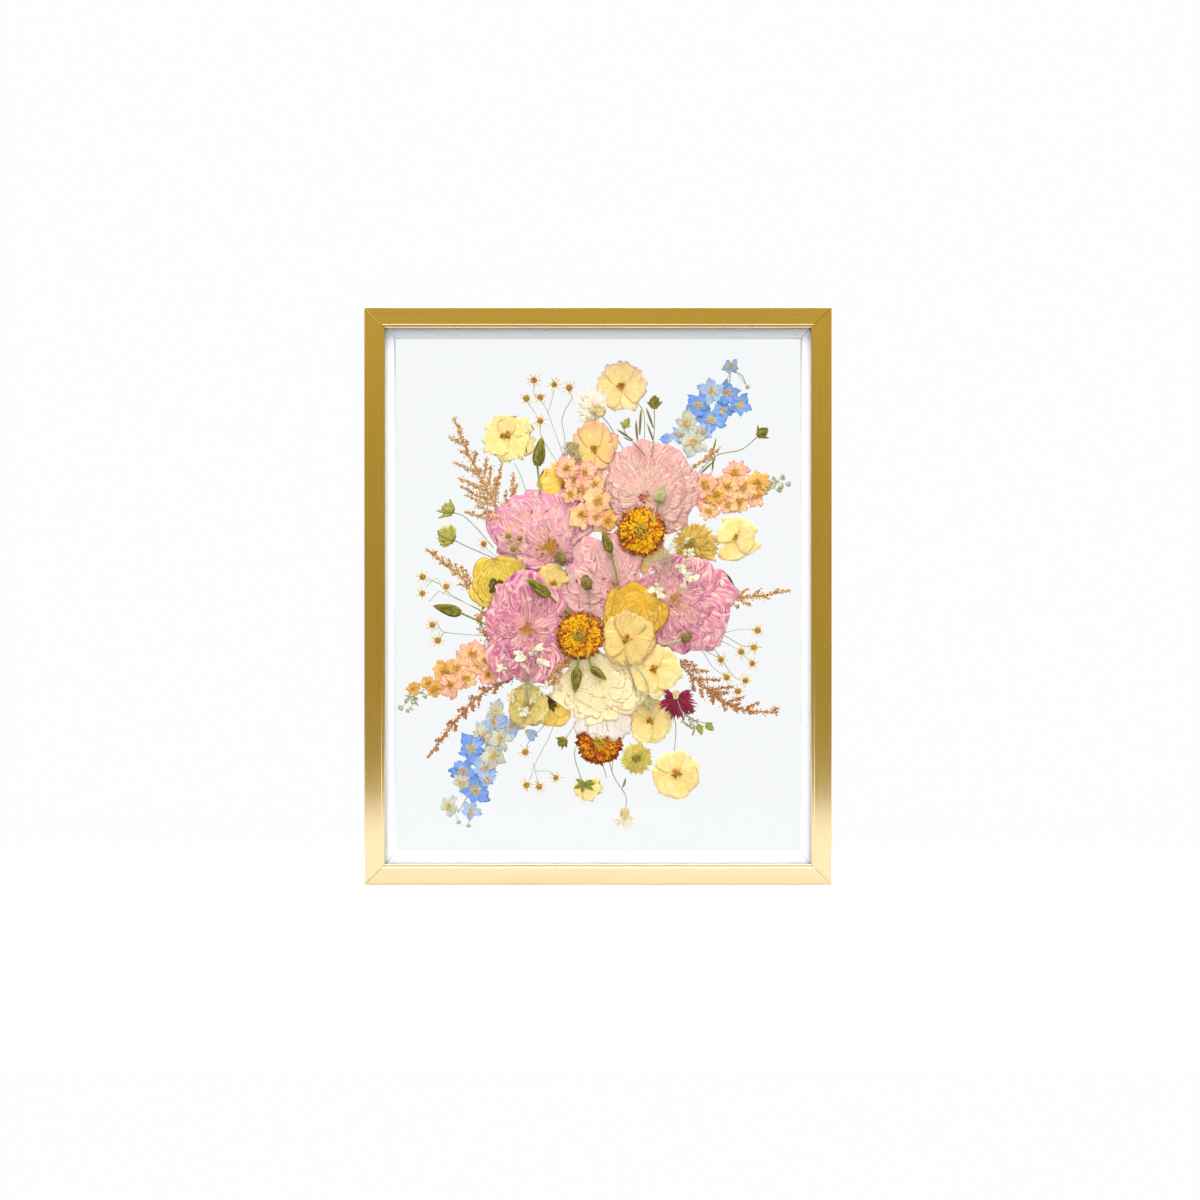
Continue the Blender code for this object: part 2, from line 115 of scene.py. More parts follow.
class Finish:
    """A material with a Principled shader, and short ways to add nodes that drive it."""

    def __init__(self, name, roughness=0.7, specular=0.25, metallic=0.0):
        self.material = bpy.data.materials.new(name)
        self.material.use_nodes = True
        self.tree = self.material.node_tree
        self.shader = self.tree.nodes["Principled BSDF"]
        self.shader.inputs["Roughness"].default_value = roughness
        self.shader.inputs["Specular IOR Level"].default_value = specular
        self.shader.inputs["Metallic"].default_value = metallic

    def node(self, kind, settings=None, values=None, output=0):
        """Adds any node: its settings first, then a value or a link for each socket named."""
        made = self.tree.nodes.new(kind)
        for key, value in (settings or {}).items():
            setattr(made, key, value)
        for key, value in (values or {}).items():
            self.feed(made.inputs[key], value)
        return Link(self, made.outputs[output])

    def feed(self, socket, value):
        if isinstance(value, Link):
            self.tree.links.new(value.socket, socket)
        elif socket.type == "RGBA":
            socket.default_value = (*value, 1)
        else:
            socket.default_value = value

    def drive(self, **values):
        """Feeds the shader's own sockets. An underscore in a name stands for a space."""
        for key, value in values.items():
            self.feed(self.shader.inputs[key.replace("_", " ")], value)

    def mix(self, share, first, second, blend="MIX"):
        """A colour: share 0 gives the first and share 1 the second."""
        settings = {"data_type": "RGBA", "blend_type": blend}
        return self.node("ShaderNodeMix", settings, {0: share, 6: first, 7: second}, 2)

    def place(self):
        """Object coordinates: metres in the frame's own axes."""
        return self.node("ShaderNodeTexCoord", output="Object")

    def stretched(self, scale, turn=(0, 0, 0)):
        return self.node("ShaderNodeMapping", None, {"Vector": self.place(), "Scale": scale,
            "Rotation": turn})

    def noise(self, vector, scale, detail=2.0, roughness=0.5, distortion=0.0):
        values = {"Vector": vector, "Scale": scale, "Detail": detail}
        values |= {"Roughness": roughness, "Distortion": distortion}
        return self.node("ShaderNodeTexNoise", None, values)

    def split(self, vector):
        made = self.node("ShaderNodeSeparateXYZ", None, {0: vector})
        return [Link(self, socket) for socket in made.socket.node.outputs]

    def bump(self, height, distance, strength=1.0):
        values = {"Height": height, "Distance": distance, "Strength": strength}
        self.drive(Normal=self.node("ShaderNodeBump", None, values))


def tint(red, green, blue):
    """A colour from the eye's scale, 0 to 255, to the linear one that shaders use."""
    shares = (red / 255, green / 255, blue / 255)
    return tuple(s / 12.92 if s <= 0.04045 else ((s + 0.055) / 1.055) ** 2.4 for s in shares)


print("shader helpers ready")

# %% [markdown]
# ## The studio
# A pale floor ends a little way in front of the frame, and the room beyond it is dimmer. Polished gold
# shows what stands before it, so the bottom of the frame mirrors the bright floor while the rest
# mirrors the room. The camera stands level with the middle of the frame. A wide soft lamp hangs above
# and another stands in front, too high to be mirrored in the panes.

# %% Camera, lamps and floor
BOX_LOW, BOX_HIGH = (Vector(corner) for corner in CAD_BOX)
CAMERA_DISTANCE = 1500 * MM
CAMERA_SIDEWAYS = 1.85 * MM
CAMERA_HEIGHT = 263.3 * MM
LENS = 48.7
FLOOR_AHEAD = 585 * MM
FLOOR_BEHIND = 205 * MM
FLOOR_HALF_WIDTH = 1500 * MM
MIRRORED_ROOM = (1.12, 0.84, 0.165)  # the warm side of the room, seen only in what is polished


def add_camera():
    data = bpy.data.cameras.new("camera")
    data.lens = LENS
    data.sensor_width = 36
    camera = bpy.data.objects.new("camera", data)
    bpy.context.scene.collection.objects.link(camera)
    camera.location = (CAMERA_SIDEWAYS, BOX_LOW.y - CAMERA_DISTANCE, CAMERA_HEIGHT)
    camera.rotation_euler = (math.pi / 2, 0, 0)
    bpy.context.scene.camera = camera


def add_lamp(name, place, aim, size, power, colour=(1, 1, 1)):
    data = bpy.data.lights.new(name, "AREA")
    data.shape = "RECTANGLE"
    data.size, data.size_y = size
    data.energy = power
    data.color = colour
    lamp = bpy.data.objects.new(name, data)
    bpy.context.scene.collection.objects.link(lamp)
    lamp.location = place
    lamp.rotation_euler = (Vector(aim) - Vector(place)).to_track_quat("-Z", "Y").to_euler()
    lamp.visible_camera = False


def add_floor():
    """A pale sheet on which the frame stands."""
    depth = FLOOR_AHEAD + FLOOR_BEHIND
    bpy.ops.mesh.primitive_grid_add(x_subdivisions=40, y_subdivisions=24, size=1)
    floor = bpy.context.object
    floor.name = "floor"
    middle_y = BOX_LOW.y - FLOOR_AHEAD + depth / 2
    for point in floor.data.vertices:
        point.co.x *= 2 * FLOOR_HALF_WIDTH
        point.co.y = point.co.y * depth + middle_y
        point.co.z = 0.0
    finish = Finish("pale_floor", roughness=0.8, specular=0.2)
    grain = finish.noise(finish.place(), 6.0, 2.0)
    finish.drive(Base_Color=finish.mix(grain, tint(246, 247, 249), tint(249, 250, 252)))
    floor.data.materials.append(finish.material)


def light_world():
    """A pale backdrop for the eye, and a dimmer room for what is lit or mirrored by it."""
    world = bpy.data.worlds.new("studio")
    world.use_nodes = True
    tree = world.node_tree
    backdrop = tree.nodes["Background"]
    backdrop.inputs["Color"].default_value = (0.985, 0.992, 1.0, 1)
    backdrop.inputs["Strength"].default_value = 1.0
    room = tree.nodes.new("ShaderNodeBackground")
    upward = tree.nodes.new("ShaderNodeTexCoord").outputs["Generated"]
    split = tree.nodes.new("ShaderNodeSeparateXYZ")
    tree.links.new(upward, split.inputs[0])
    glow = tree.nodes.new("ShaderNodeMapRange")
    glow.interpolation_type = "SMOOTHSTEP"
    for key, value in {"From Min": -0.02, "From Max": 0.26, "To Min": 0.58, "To Max": 0.87}.items():
        glow.inputs[key].default_value = value
    tree.links.new(split.outputs["Z"], glow.inputs["Value"])
    tree.links.new(glow.outputs[0], room.inputs["Strength"])
    seen = tree.nodes.new("ShaderNodeLightPath")
    warmth = tree.nodes.new("ShaderNodeMix")
    warmth.data_type = "RGBA"
    warmth.inputs[6].default_value = (1, 1, 1, 1)
    warmth.inputs[7].default_value = (*MIRRORED_ROOM, 1)
    tree.links.new(seen.outputs["Is Glossy Ray"], warmth.inputs[0])
    tree.links.new(warmth.outputs[2], room.inputs["Color"])
    either = tree.nodes.new("ShaderNodeMath")
    either.operation = "MAXIMUM"
    tree.links.new(seen.outputs["Is Camera Ray"], either.inputs[0])
    tree.links.new(seen.outputs["Is Transmission Ray"], either.inputs[1])
    blend = tree.nodes.new("ShaderNodeMixShader")
    tree.links.new(either.outputs[0], blend.inputs[0])
    tree.links.new(room.outputs[0], blend.inputs[1])
    tree.links.new(backdrop.outputs[0], blend.inputs[2])
    tree.links.new(blend.outputs[0], tree.nodes["World Output"].inputs[0])
    bpy.context.scene.world = world
    bpy.context.scene.view_settings.view_transform = "Standard"
    bpy.context.scene.view_settings.look = "None"


add_camera()
add_lamp("overhead", (0, -0.25, 1.75), (0, -0.2, 0), (1.7, 1.1), 50)
add_lamp("front_left", (-0.9, -1.3, 1.55), (0, 0, 0.27), (1.0, 0.8), 3.2)
add_lamp("front_right", (1.0, -1.3, 1.45), (0, 0, 0.27), (1.0, 0.8), 2.4)
add_floor()
light_world()
print("camera, 3 lamps, a floor and the room")

# %% [markdown]
# ## Gilt and bare wood
# The moulding is brushed gold leaf over wood: a metal with a deep yellow colour and a satin sheen. Fine
# streaks run along each rail, with a few faint specks where dust was sealed in, and the colour wanders
# a little. The back and the rabbet are bare pale wood with a long grain. The streaks follow the rail, so
# each direction gets a finish of its own, made by the same function.


# %% Gilt and wood
def along_rail(upright, across, along):
    """Noise scales that stretch a pattern along an upright rail or a level one."""
    return (across, across, along) if upright else (along, across, across)


def gilt_finish(upright):
    finish = Finish("gilt_upright" if upright else "gilt_level", metallic=1.0, specular=0.5)
    streak = finish.noise(finish.stretched(along_rail(upright, 1500, 9)), 1.0, 3.0, 0.6)
    wander = finish.noise(finish.stretched(along_rail(upright, 40, 7)), 1.0, 2.0)
    speck = finish.noise(finish.stretched(along_rail(upright, 900, 330)), 1.0, 1.0)
    gold = finish.mix(wander, tint(184, 164, 123), tint(194, 174, 133))
    gold = finish.mix(streak.rise(0.35, 0.75) * 0.45, gold, tint(208, 190, 150))
    flecks = speck.rise(0.74, 0.80)
    finish.drive(Base_Color=finish.mix(flecks * 0.16, gold, tint(246, 228, 178)),
        Roughness=(0.12 if upright else 0.15) + streak * 0.08 + wander * 0.05 + flecks * 0.1)
    finish.shader.inputs["Coat Weight"].default_value = 1.0
    finish.shader.inputs["Coat Roughness"].default_value = 0.12
    finish.bump(streak + flecks * 0.2, 0.02 * MM, 0.5)
    return finish.material


def wood_finish(upright):
    finish = Finish("bare_wood_upright" if upright else "bare_wood_level", specular=0.3)
    grain = finish.noise(finish.stretched(along_rail(upright, 260, 5)), 1.0, 5.0, 0.6, 0.4)
    pores = finish.noise(finish.stretched(along_rail(upright, 2200, 90)), 1.0, 2.0)
    wood = finish.mix(grain.rise(0.3, 0.75), tint(214, 186, 142), tint(184, 148, 101))
    wood = finish.mix(pores.rise(0.62, 0.74) * 0.6, wood, tint(146, 110, 70))
    finish.drive(Base_Color=wood, Roughness=0.62 + grain * 0.2)
    finish.bump(grain * 0.6 - pores * 0.4, 0.15 * MM, 0.7)
    return finish.material


UPRIGHTS = ("left", "right")
GILT = {upright: gilt_finish(upright) for upright in (True, False)}
WOOD = {upright: wood_finish(upright) for upright in (True, False)}
print("gilt and wood, each for upright and level rails")

# %% [markdown]
# ## Taking over a solid
# The solids of the hardware already have the true shape, but their meshes are loose triangles with
# knife-sharp edges. A copy is merged, its flat triangles are joined again, and the edges worth rounding
# get a small bevel, because a real edge always catches a thin line of light.


# %% Copies of solids, with rounded edges
def take_over(node, name, finishes):
    """A merged copy of a solid as a piece of its own, which replaces the solid."""
    bpy.ops.object.select_all(action="DESELECT")
    piece = bpy.data.objects.new(name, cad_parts[node].data.copy())
    bpy.context.scene.collection.objects.link(piece)
    piece.data.materials.clear()
    for finish in finishes:
        piece.data.materials.append(finish)
    bpy.context.view_layer.objects.active = piece
    piece.select_set(True)
    bpy.ops.object.mode_set(mode="EDIT")
    bpy.ops.mesh.select_all(action="SELECT")
    bpy.ops.mesh.remove_doubles(threshold=0.002 * MM)
    bpy.ops.mesh.dissolve_limited(angle_limit=math.radians(0.5))
    bpy.ops.mesh.select_all(action="DESELECT")
    bpy.ops.object.mode_set(mode="OBJECT")
    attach(piece, "root")
    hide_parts(node)
    return piece


def round_edges(piece, width, wanted, steps=2):
    """Bevels the edges whose two ends pass the test, and keeps the shading of flat faces flat."""
    mesh = piece.data
    for edge in mesh.edges:
        ends = [mesh.vertices[corner].co for corner in edge.vertices]
        edge.select = wanted(*ends)
    bpy.ops.object.mode_set(mode="EDIT")
    bpy.ops.mesh.select_mode(type="EDGE")
    bpy.ops.mesh.bevel(offset=width, segments=steps, profile=0.6, clamp_overlap=True)
    bpy.ops.mesh.select_all(action="DESELECT")
    bpy.ops.object.mode_set(mode="OBJECT")
    bpy.ops.object.shade_smooth_by_angle(angle=math.radians(38))
    level = piece.modifiers.new("level", "WEIGHTED_NORMAL")
    level.keep_sharp = True
    level.weight = 100
    bpy.ops.object.modifier_apply(modifier="level")


def paint_faces(piece, test, finish_index):
    """Gives the faces whose middle and normal pass the test another of the piece's finishes."""
    for face in piece.data.polygons:
        if test(face.center, face.normal):
            face.material_index = finish_index


def longer_than(length):
    return lambda start, end: (end - start).length > length


print("ready to take over the hardware")

# %% [markdown]
# ## The four rails
# Each rail is one length of moulding with mitred ends. The long edges of its face, step and bead are
# rounded a quarter of a millimetre, which draws the thin bright lines that run round a gilt frame. The
# back and the rabbet turn to bare wood by the place and direction of each face.

# %% Rails
SIDES = ("left", "right", "top", "bottom")
RABBET_START = 12.5 * MM  # from the rail's outer edge
OUTER_HALF_WIDTH = BOX_HIGH.x
OUTER_HEIGHT = BOX_HIGH.z
LONG_EDGE = 300 * MM
GLASS_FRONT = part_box("glass_front")[0].y


def inset(point):
    """How far a point lies inside the frame's outer edge."""
    return min(OUTER_HALF_WIDTH - abs(point.x), point.z, OUTER_HEIGHT - point.z)


def make_rail(side):
    upright = side in UPRIGHTS
    rail = take_over(f"rail_{side}", f"moulding_{side}", [GILT[upright], WOOD[upright]])
    rail_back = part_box(f"rail_{side}")[1].y

    def bare(middle, normal):
        behind = middle.y > rail_back - 0.1 * MM and normal.y > 0.9
        in_rabbet = middle.y > GLASS_FRONT - 0.5 * MM and inset(middle) > RABBET_START - 6 * MM
        return behind or in_rabbet

    paint_faces(rail, bare, 1)
    round_edges(rail, 0.22 * MM, longer_than(LONG_EDGE))


for side in SIDES:
    make_rail(side)
print("4 rails of moulding")

# %% [markdown]
# ## White strips between the panes
# Strips of white foam board stand between the panes, hidden behind the lip except for their inner
# edge. Their paper is nearly white, a little cool, with a faint tooth, and the corners meet in a mitre.


# %% Spacers
def board_finish():
    finish = Finish("white_board", roughness=0.6, specular=0.3)
    tooth = finish.noise(finish.place(), 1600, 3.0)
    cloud = finish.noise(finish.place(), 25, 2.0)
    board = finish.mix(cloud, tint(234, 235, 239), tint(240, 241, 244))
    finish.drive(Base_Color=finish.mix(tooth.rise(0.4, 0.8) * 0.25, board, tint(220, 221, 226)))
    finish.drive(Roughness=0.5 + tooth * 0.2)
    finish.bump(tooth, 0.03 * MM, 0.5)
    return finish.material


BOARD = board_finish()
for side in SIDES:
    strip = take_over(f"spacer_{side}", f"board_strip_{side}", [BOARD])
    round_edges(strip, 0.12 * MM, longer_than(LONG_EDGE))
print("4 strips of board")

# %% [markdown]
# ## Two panes of glass
# Plain glass needs only a refracting shader with no roughness. Lamps reach through it by a Transparent
# shader that shadow rays meet, or the flowers would stand in a dark box. The panes keep the thin seamed
# edge of the solid.


# %% Panes
def glass_finish():
    finish = Finish("clear_glass", roughness=0.0)
    finish.drive(Base_Color=(0.965, 0.972, 0.972), Specular_Tint=(0.1, 0.1, 0.1))
    finish.shader.inputs["Transmission Weight"].default_value = 1.0
    finish.shader.inputs["IOR"].default_value = 1.5
    open_way = finish.node("ShaderNodeBsdfTransparent")
    lamp_ray = finish.node("ShaderNodeLightPath", output="Is Shadow Ray")
    both = finish.node("ShaderNodeMixShader", None, {0: lamp_ray})
    finish.tree.links.new(finish.shader.outputs[0], both.socket.node.inputs[1])
    finish.tree.links.new(open_way.socket, both.socket.node.inputs[2])
    finish.tree.links.new(both.socket, finish.tree.nodes["Material Output"].inputs[0])
    return finish.material


CLEAR = glass_finish()
for node, name in {"glass_front": "front_pane", "glass_back": "rear_pane"}.items():
    take_over(node, name, [CLEAR])
    bpy.ops.object.shade_smooth_by_angle(angle=math.radians(30))
print("2 panes")

# %% [markdown]
# ## Hardware on the back
# Flat steel tabs driven into the rabbet hold the sandwich in, and a sawtooth strip with two nails
# carries the frame on a wall. They are bright zinc with rolling marks and a few duller patches.


# %% Glazing points, hanger and nails
def zinc_finish():
    finish = Finish("zinc_steel", metallic=1.0, specular=0.5)
    rolled = finish.noise(finish.stretched((1800, 1800, 60)), 1.0, 3.0)
    patch = finish.noise(finish.place(), 180, 3.0)
    finish.drive(Base_Color=finish.mix(patch.rise(0.35, 0.7), tint(202, 203, 204), tint(166, 167, 170)),
        Roughness=0.24 + rolled * 0.2 + patch * 0.12)
    finish.bump(rolled, 0.02 * MM, 0.5)
    return finish.material


ZINC = zinc_finish()
HARDWARE = [f"glazing_point_{number}" for number in range(1, 7)]
HARDWARE += ["sawtooth_hanger", "hanger_nail_left", "hanger_nail_right"]
for node in HARDWARE:
    part = take_over(node, "steel_" + node, [ZINC])
    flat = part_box(node)

    def on_a_face(start, end, low=flat[0].y, high=flat[1].y):
        """Edges that lie wholly in the part's front or rear plane."""
        return any(abs(start.y - y) < 0.01 * MM and abs(end.y - y) < 0.01 * MM for y in (low, high))

    round_edges(part, 0.12 * MM, on_a_face)
print(len(HARDWARE), "pieces of hardware")

# %% [markdown]
# ## Sheets as thin as paper
# A pressed petal is a sheet a seventh of a millimetre thick. One grid primitive with Solidify gives
# such a sheet, closed all round. Its points are kept as numbers, how far across and how far along the
# petal each one lies, and formulas then place hundreds of copies, each with its own width, waves and
# folds. Beads and rods are kept the same way. Everything is laid out in millimetres as seen from the
# front: x to the right, z up, and a height above the rear pane towards the viewer.

# %% Forms to copy
GLASS_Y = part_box("glass_back")[0].y / MM  # the plane that the bouquet lies on
PETAL_THICK = 0.14


class Form:
    """A shape to copy: its points, its faces, and a map of how far across and along each point is."""

    def __init__(self, points, faces, across, along):
        self.points = points
        self.faces = faces
        self.across = across
        self.along = along


def taken_apart(source):
    """The points and faces of a modelled object, which is then removed."""
    mesh = source.data
    points = np.array([point.co[:] for point in mesh.vertices])
    faces = []
    for corners in (3, 4):
        same = [face.vertices[:] for face in mesh.polygons if len(face.vertices) == corners]
        if same:
            faces.append(np.array(same))
    bpy.data.objects.remove(source)
    return points, faces


def sheet_form(columns, rows):
    """A closed thin sheet, from -1 to 1 across and from 0 to 1 along."""
    bpy.ops.mesh.primitive_grid_add(x_subdivisions=columns, y_subdivisions=rows, size=2)
    sheet = bpy.context.object
    wall = sheet.modifiers.new("wall", "SOLIDIFY")
    wall.thickness = 1.0
    wall.offset = 0.0
    bpy.ops.object.modifier_apply(modifier="wall")
    points, faces = taken_apart(sheet)
    return Form(points, faces, points[:, 0], (points[:, 1] + 1) / 2)


def bead_form():
    bpy.ops.mesh.primitive_ico_sphere_add(subdivisions=1, radius=1)
    points, faces = taken_apart(bpy.context.object)
    return Form(points, faces, points[:, 0], (points[:, 1] + 1) / 2)


def dome_form():
    bpy.ops.mesh.primitive_uv_sphere_add(segments=16, ring_count=8, radius=1)
    points, faces = taken_apart(bpy.context.object)
    turn = np.arctan2(points[:, 1], points[:, 0]) / math.pi
    return Form(points, faces, turn, np.hypot(points[:, 0], points[:, 1]))


def rod_form(rings, sides=6):
    """A closed round rod: its points hold a turn, a place along from 0 to 1 and a radius."""
    bpy.ops.mesh.primitive_cylinder_add(vertices=sides, radius=1, depth=1, end_fill_type="TRIFAN")
    bpy.ops.object.mode_set(mode="EDIT")
    bpy.ops.mesh.select_all(action="SELECT")
    for ring in range(1, rings):
        bpy.ops.mesh.select_all(action="SELECT")
        height = ring / rings - 0.5
        bpy.ops.mesh.bisect(plane_co=(0, 0, height), plane_no=(0, 0, 1))
    bpy.ops.object.mode_set(mode="OBJECT")
    points, faces = taken_apart(bpy.context.object)
    return Form(points, faces, np.arctan2(points[:, 1], points[:, 0]) / math.pi, points[:, 2] + 0.5)


BROAD = sheet_form(14, 10)
PETAL = sheet_form(8, 7)
SLIM = sheet_form(4, 6)
SCALE = sheet_form(2, 4)
BEAD = bead_form()
DOME = dome_form()
ROD = rod_form(10)
TWIG = rod_form(3, 4)
POD = rod_form(10, 12)
FORMS = (BROAD, PETAL, SLIM, SCALE, BEAD, DOME, ROD, TWIG, POD)
print("forms:", [len(form.points) for form in FORMS])

# %% [markdown]
# ## Gathering a flower
# A flower is one mesh of many copied forms. The bunch keeps what every finish may want to know about a
# point: where it lies on its petal, which goes into a UV map, and a tone from 0 to 1 that sets each
# petal a little apart from its neighbours, which goes into an attribute.

# %% Bunches
PIECES = []
LOWEST = 0.2  # nearer to the glass than this, a point is pressed flat against it


class Bunch:
    """Copied forms that become one piece."""

    def __init__(self):
        self.points = []
        self.faces = []
        self.maps = []
        self.tones = []
        self.kinds = []
        self.count = 0

    def add(self, form, x, z, height, tone=0.5, kind=0):
        """Adds one copy for each row of x, z and height, with a tone for each copy."""
        x, z, height = np.broadcast_arrays(x, z, height)
        squashed = LOWEST * np.exp(np.minimum(height / LOWEST, 1) - 1)
        height = np.where(height < LOWEST, squashed, height)
        copies, size = x.shape
        self.points.append(np.stack((x, GLASS_Y - height, z), 2).reshape(-1, 3) * MM)
        starts = self.count + size * np.arange(copies)[:, None, None]
        for faces in form.faces:
            placed = (starts + faces).reshape(-1, faces.shape[1])
            self.faces.append(placed)
            self.kinds.append(np.full(len(placed), kind))
        place = np.stack(((form.across + 1) / 2, form.along), 1)
        self.maps.append(np.tile(place, (copies, 1)))
        self.tones.append(np.repeat(np.broadcast_to(tone, copies), size))
        self.count += copies * size

    def finish(self, name, finishes, slot, *nodes):
        """Makes the piece, and hides the solids that it stands for."""
        mesh = bpy.data.meshes.new(name)
        corners = np.concatenate([faces.ravel() for faces in self.faces])
        sizes = np.concatenate([np.full(len(faces), faces.shape[1]) for faces in self.faces])
        mesh.vertices.add(self.count)
        mesh.vertices.foreach_set("co", np.concatenate(self.points).ravel())
        mesh.loops.add(len(corners))
        mesh.loops.foreach_set("vertex_index", corners)
        mesh.polygons.add(len(sizes))
        mesh.polygons.foreach_set("loop_start", np.cumsum(sizes) - sizes)
        mesh.polygons.foreach_set("material_index", np.concatenate(self.kinds))
        mesh.polygons.foreach_set("use_smooth", np.ones(len(sizes), bool))
        mesh.update(calc_edges=True)
        mesh.uv_layers.new(name="petal").uv.foreach_set("vector",
            np.concatenate(self.maps)[corners].ravel())
        tones = mesh.attributes.new("tone", "FLOAT", "POINT")
        tones.data.foreach_set("value", np.concatenate(self.tones))
        for finish in finishes:
            mesh.materials.append(finish)
        piece = bpy.data.objects.new(name, mesh)
        bpy.context.scene.collection.objects.link(piece)
        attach(piece, "root")
        if nodes:
            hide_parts(*nodes)
        triangles = int((sizes - 2).sum())
        PIECES.append(triangles)
        print(f"{name}: {triangles} triangles")
        return piece


class Spot:
    """Where a flower's solid lies, seen from the front in millimetres."""

    def __init__(self, node):
        low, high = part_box(node)
        self.node = node
        self.x = (low.x + high.x) / 2 / MM
        self.z = (low.z + high.z) / 2 / MM
        self.half_x = (high.x - low.x) / 2 / MM
        self.half_z = (high.z - low.z) / 2 / MM
        self.rear = GLASS_Y - high.y / MM
        self.front = GLASS_Y - low.y / MM

    def reach(self, turns, hub=(0, 0)):
        """How far the flower's edge is from its hub in each direction."""
        step_x, step_z = np.cos(turns) / self.half_x, np.sin(turns) / self.half_z
        from_x, from_z = hub[0] / self.half_x, hub[1] / self.half_z
        square = step_x**2 + step_z**2
        half = from_x * step_x + from_z * step_z
        return (-half + np.sqrt(half**2 - square * (from_x**2 + from_z**2 - 1))) / square

    def covers(self, x, z):
        return ((x - self.x) / self.half_x) ** 2 + ((z - self.z) / self.half_z) ** 2 < 1


def column(values):
    """One value per copy, ready to spread over the copy's points."""
    return np.atleast_1d(np.asarray(values, float))[:, None]


def begin(node, seed):
    """A flower's place, its empty bunch and its own random numbers."""
    return Spot(node), Bunch(), np.random.default_rng(seed)


# %% [markdown]
# ## The shape of a petal
# Every petal starts narrow, swells to its belly and rounds off at the tip. Waves make its edge
# irregular, teeth or a notch cut the tip, and folds lift it off the glass by a few tenths of a
# millimetre. A look holds those shares for one kind of flower.


# %% Petals, wraps, rods and beads
class Look:
    """Shares of a petal's shape, as parts of its width or length, and the height of its folds in mm."""

    def __init__(self, base=0.25, belly=0.62, tip=0.5, rounding=0.16, wave=0.05, notch=0.0, teeth=0,
            tooth=0.0, folds=0.2, waves=5.0, bend=0.0, fall=0.0):
        self.base = base
        self.belly = belly
        self.tip = tip
        self.rounding = rounding
        self.wave = wave
        self.notch = notch
        self.teeth = teeth
        self.tooth = tooth
        self.folds = folds
        self.waves = waves
        self.bend = bend
        self.fall = fall


def folded(across, along, phases, waves):
    """Crossing folds between -1 and 1, finer where waves is larger."""
    first = np.sin(waves * across + 2.2 * along + phases[0] + 1.6 * np.sin(4 * along + phases[1]))
    second = np.sin(1.9 * waves * across - 5 * along + phases[2] + 1.4 * np.sin(3 * across + phases[3]))
    third = np.sin(1.1 * waves * across + 9 * along + phases[4])
    return 0.5 * first + 0.3 * second + 0.2 * third


def ring_of(rng, count, jitter):
    """Directions round a hub, each up to a share of a step out of place."""
    return 2 * math.pi * (np.arange(count) + rng.uniform(-jitter, jitter, count)) / count


def add_petals(bunch, form, look, rng, hub_x, hub_z, turns, lengths, widths, heights, kind=0, dimmest=0.0):
    """Petals from a hub, or from a hub each, turned from +x towards +z, each with a tone of its own."""
    turns = column(turns)
    copies = len(turns)
    tones = rng.uniform(dimmest, 1, copies)
    phases = rng.uniform(0, 2 * math.pi, (8, copies, 1))
    across, along, side = form.across, form.along, form.points[:, 2]
    swell = np.sin(math.pi / 2 * np.clip(along / look.belly, 0, 1))
    past = np.clip((along - look.belly) / (1 - look.belly), 0, 1)
    half = (look.base + (1 - look.base) * swell) * np.sqrt(1 - (1 - look.tip**2) * past**2)
    half = half * column(widths) * (1 + look.wave * np.sin(5 * along + phases[5]))
    fold = folded(across, along, phases, look.waves)
    reach = along - look.rounding * across**2 * along**2
    reach = reach + look.wave * np.sin(2.4 * across + phases[6]) * along**3
    reach = reach + 0.5 * look.wave * np.sin(6.5 * across + phases[7]) * along**4
    reach = reach - look.notch * np.exp(-((across / 0.22) ** 2)) * along**6
    if look.teeth:
        reach = reach + look.tooth * np.cos(look.teeth * math.pi * across + phases[4]) * along**5
    forward = column(lengths) * reach
    sideways = half * across + column(widths) * look.bend * along**2 * np.sin(phases[2])
    sideways = sideways + look.wave * column(widths) * fold * along
    height = column(heights) + look.folds * fold * (0.25 + 0.75 * along) - look.fall * along**2
    height = height + side * PETAL_THICK
    x = column(hub_x) + np.cos(turns) * forward + np.sin(turns) * sideways
    z = column(hub_z) + np.sin(turns) * forward - np.cos(turns) * sideways
    bunch.add(form, x, z, height, tones, kind)


def add_wraps(bunch, form, rng, hub, turns, inner, outer, spans, heights, stretch=(1, 1), tones=0.5, kind=0,
        folds=0.12, wave=0.05):
    """Petals that curve round a hub like the coats of an onion, between two radii."""
    turns = column(turns)
    phases = rng.uniform(0, 2 * math.pi, (8, len(turns), 1))
    across, along, side = form.across, form.along, form.points[:, 2]
    rim = column(outer) * (1 - 0.42 * across**4) * (1 + wave * np.sin(4 * across + phases[5]))
    foot = column(inner) * (1 + 0.15 * across**2)
    radius = foot + (rim - foot) * along
    around = turns - column(spans) * across * (1 - 0.12 * along)
    fold = folded(across, along, phases, 3.5)
    height = column(heights) + folds * fold * along + side * PETAL_THICK
    x = hub[0] + stretch[0] * radius * np.cos(around)
    z = hub[1] + stretch[1] * radius * np.sin(around)
    bunch.add(form, x, z, height, tones, kind)


def smooth_path(points, count):
    """A Catmull-Rom curve through given points, at evenly spaced steps."""
    points = np.array(points, float)
    padded = np.vstack((2 * points[0] - points[1], points, 2 * points[-1] - points[-2]))
    steps = np.linspace(0, len(points) - 1, count)
    index = np.minimum(steps.astype(int), len(points) - 2)
    part = (steps - index)[:, None]
    a, b, c, d = (padded[index + shift] for shift in range(4))
    return 0.5 * (2 * b + (c - a) * part + (2 * a - 5 * b + 4 * c - d) * part**2 + (3 * b - a - 3 * c + d) *
        part**3)


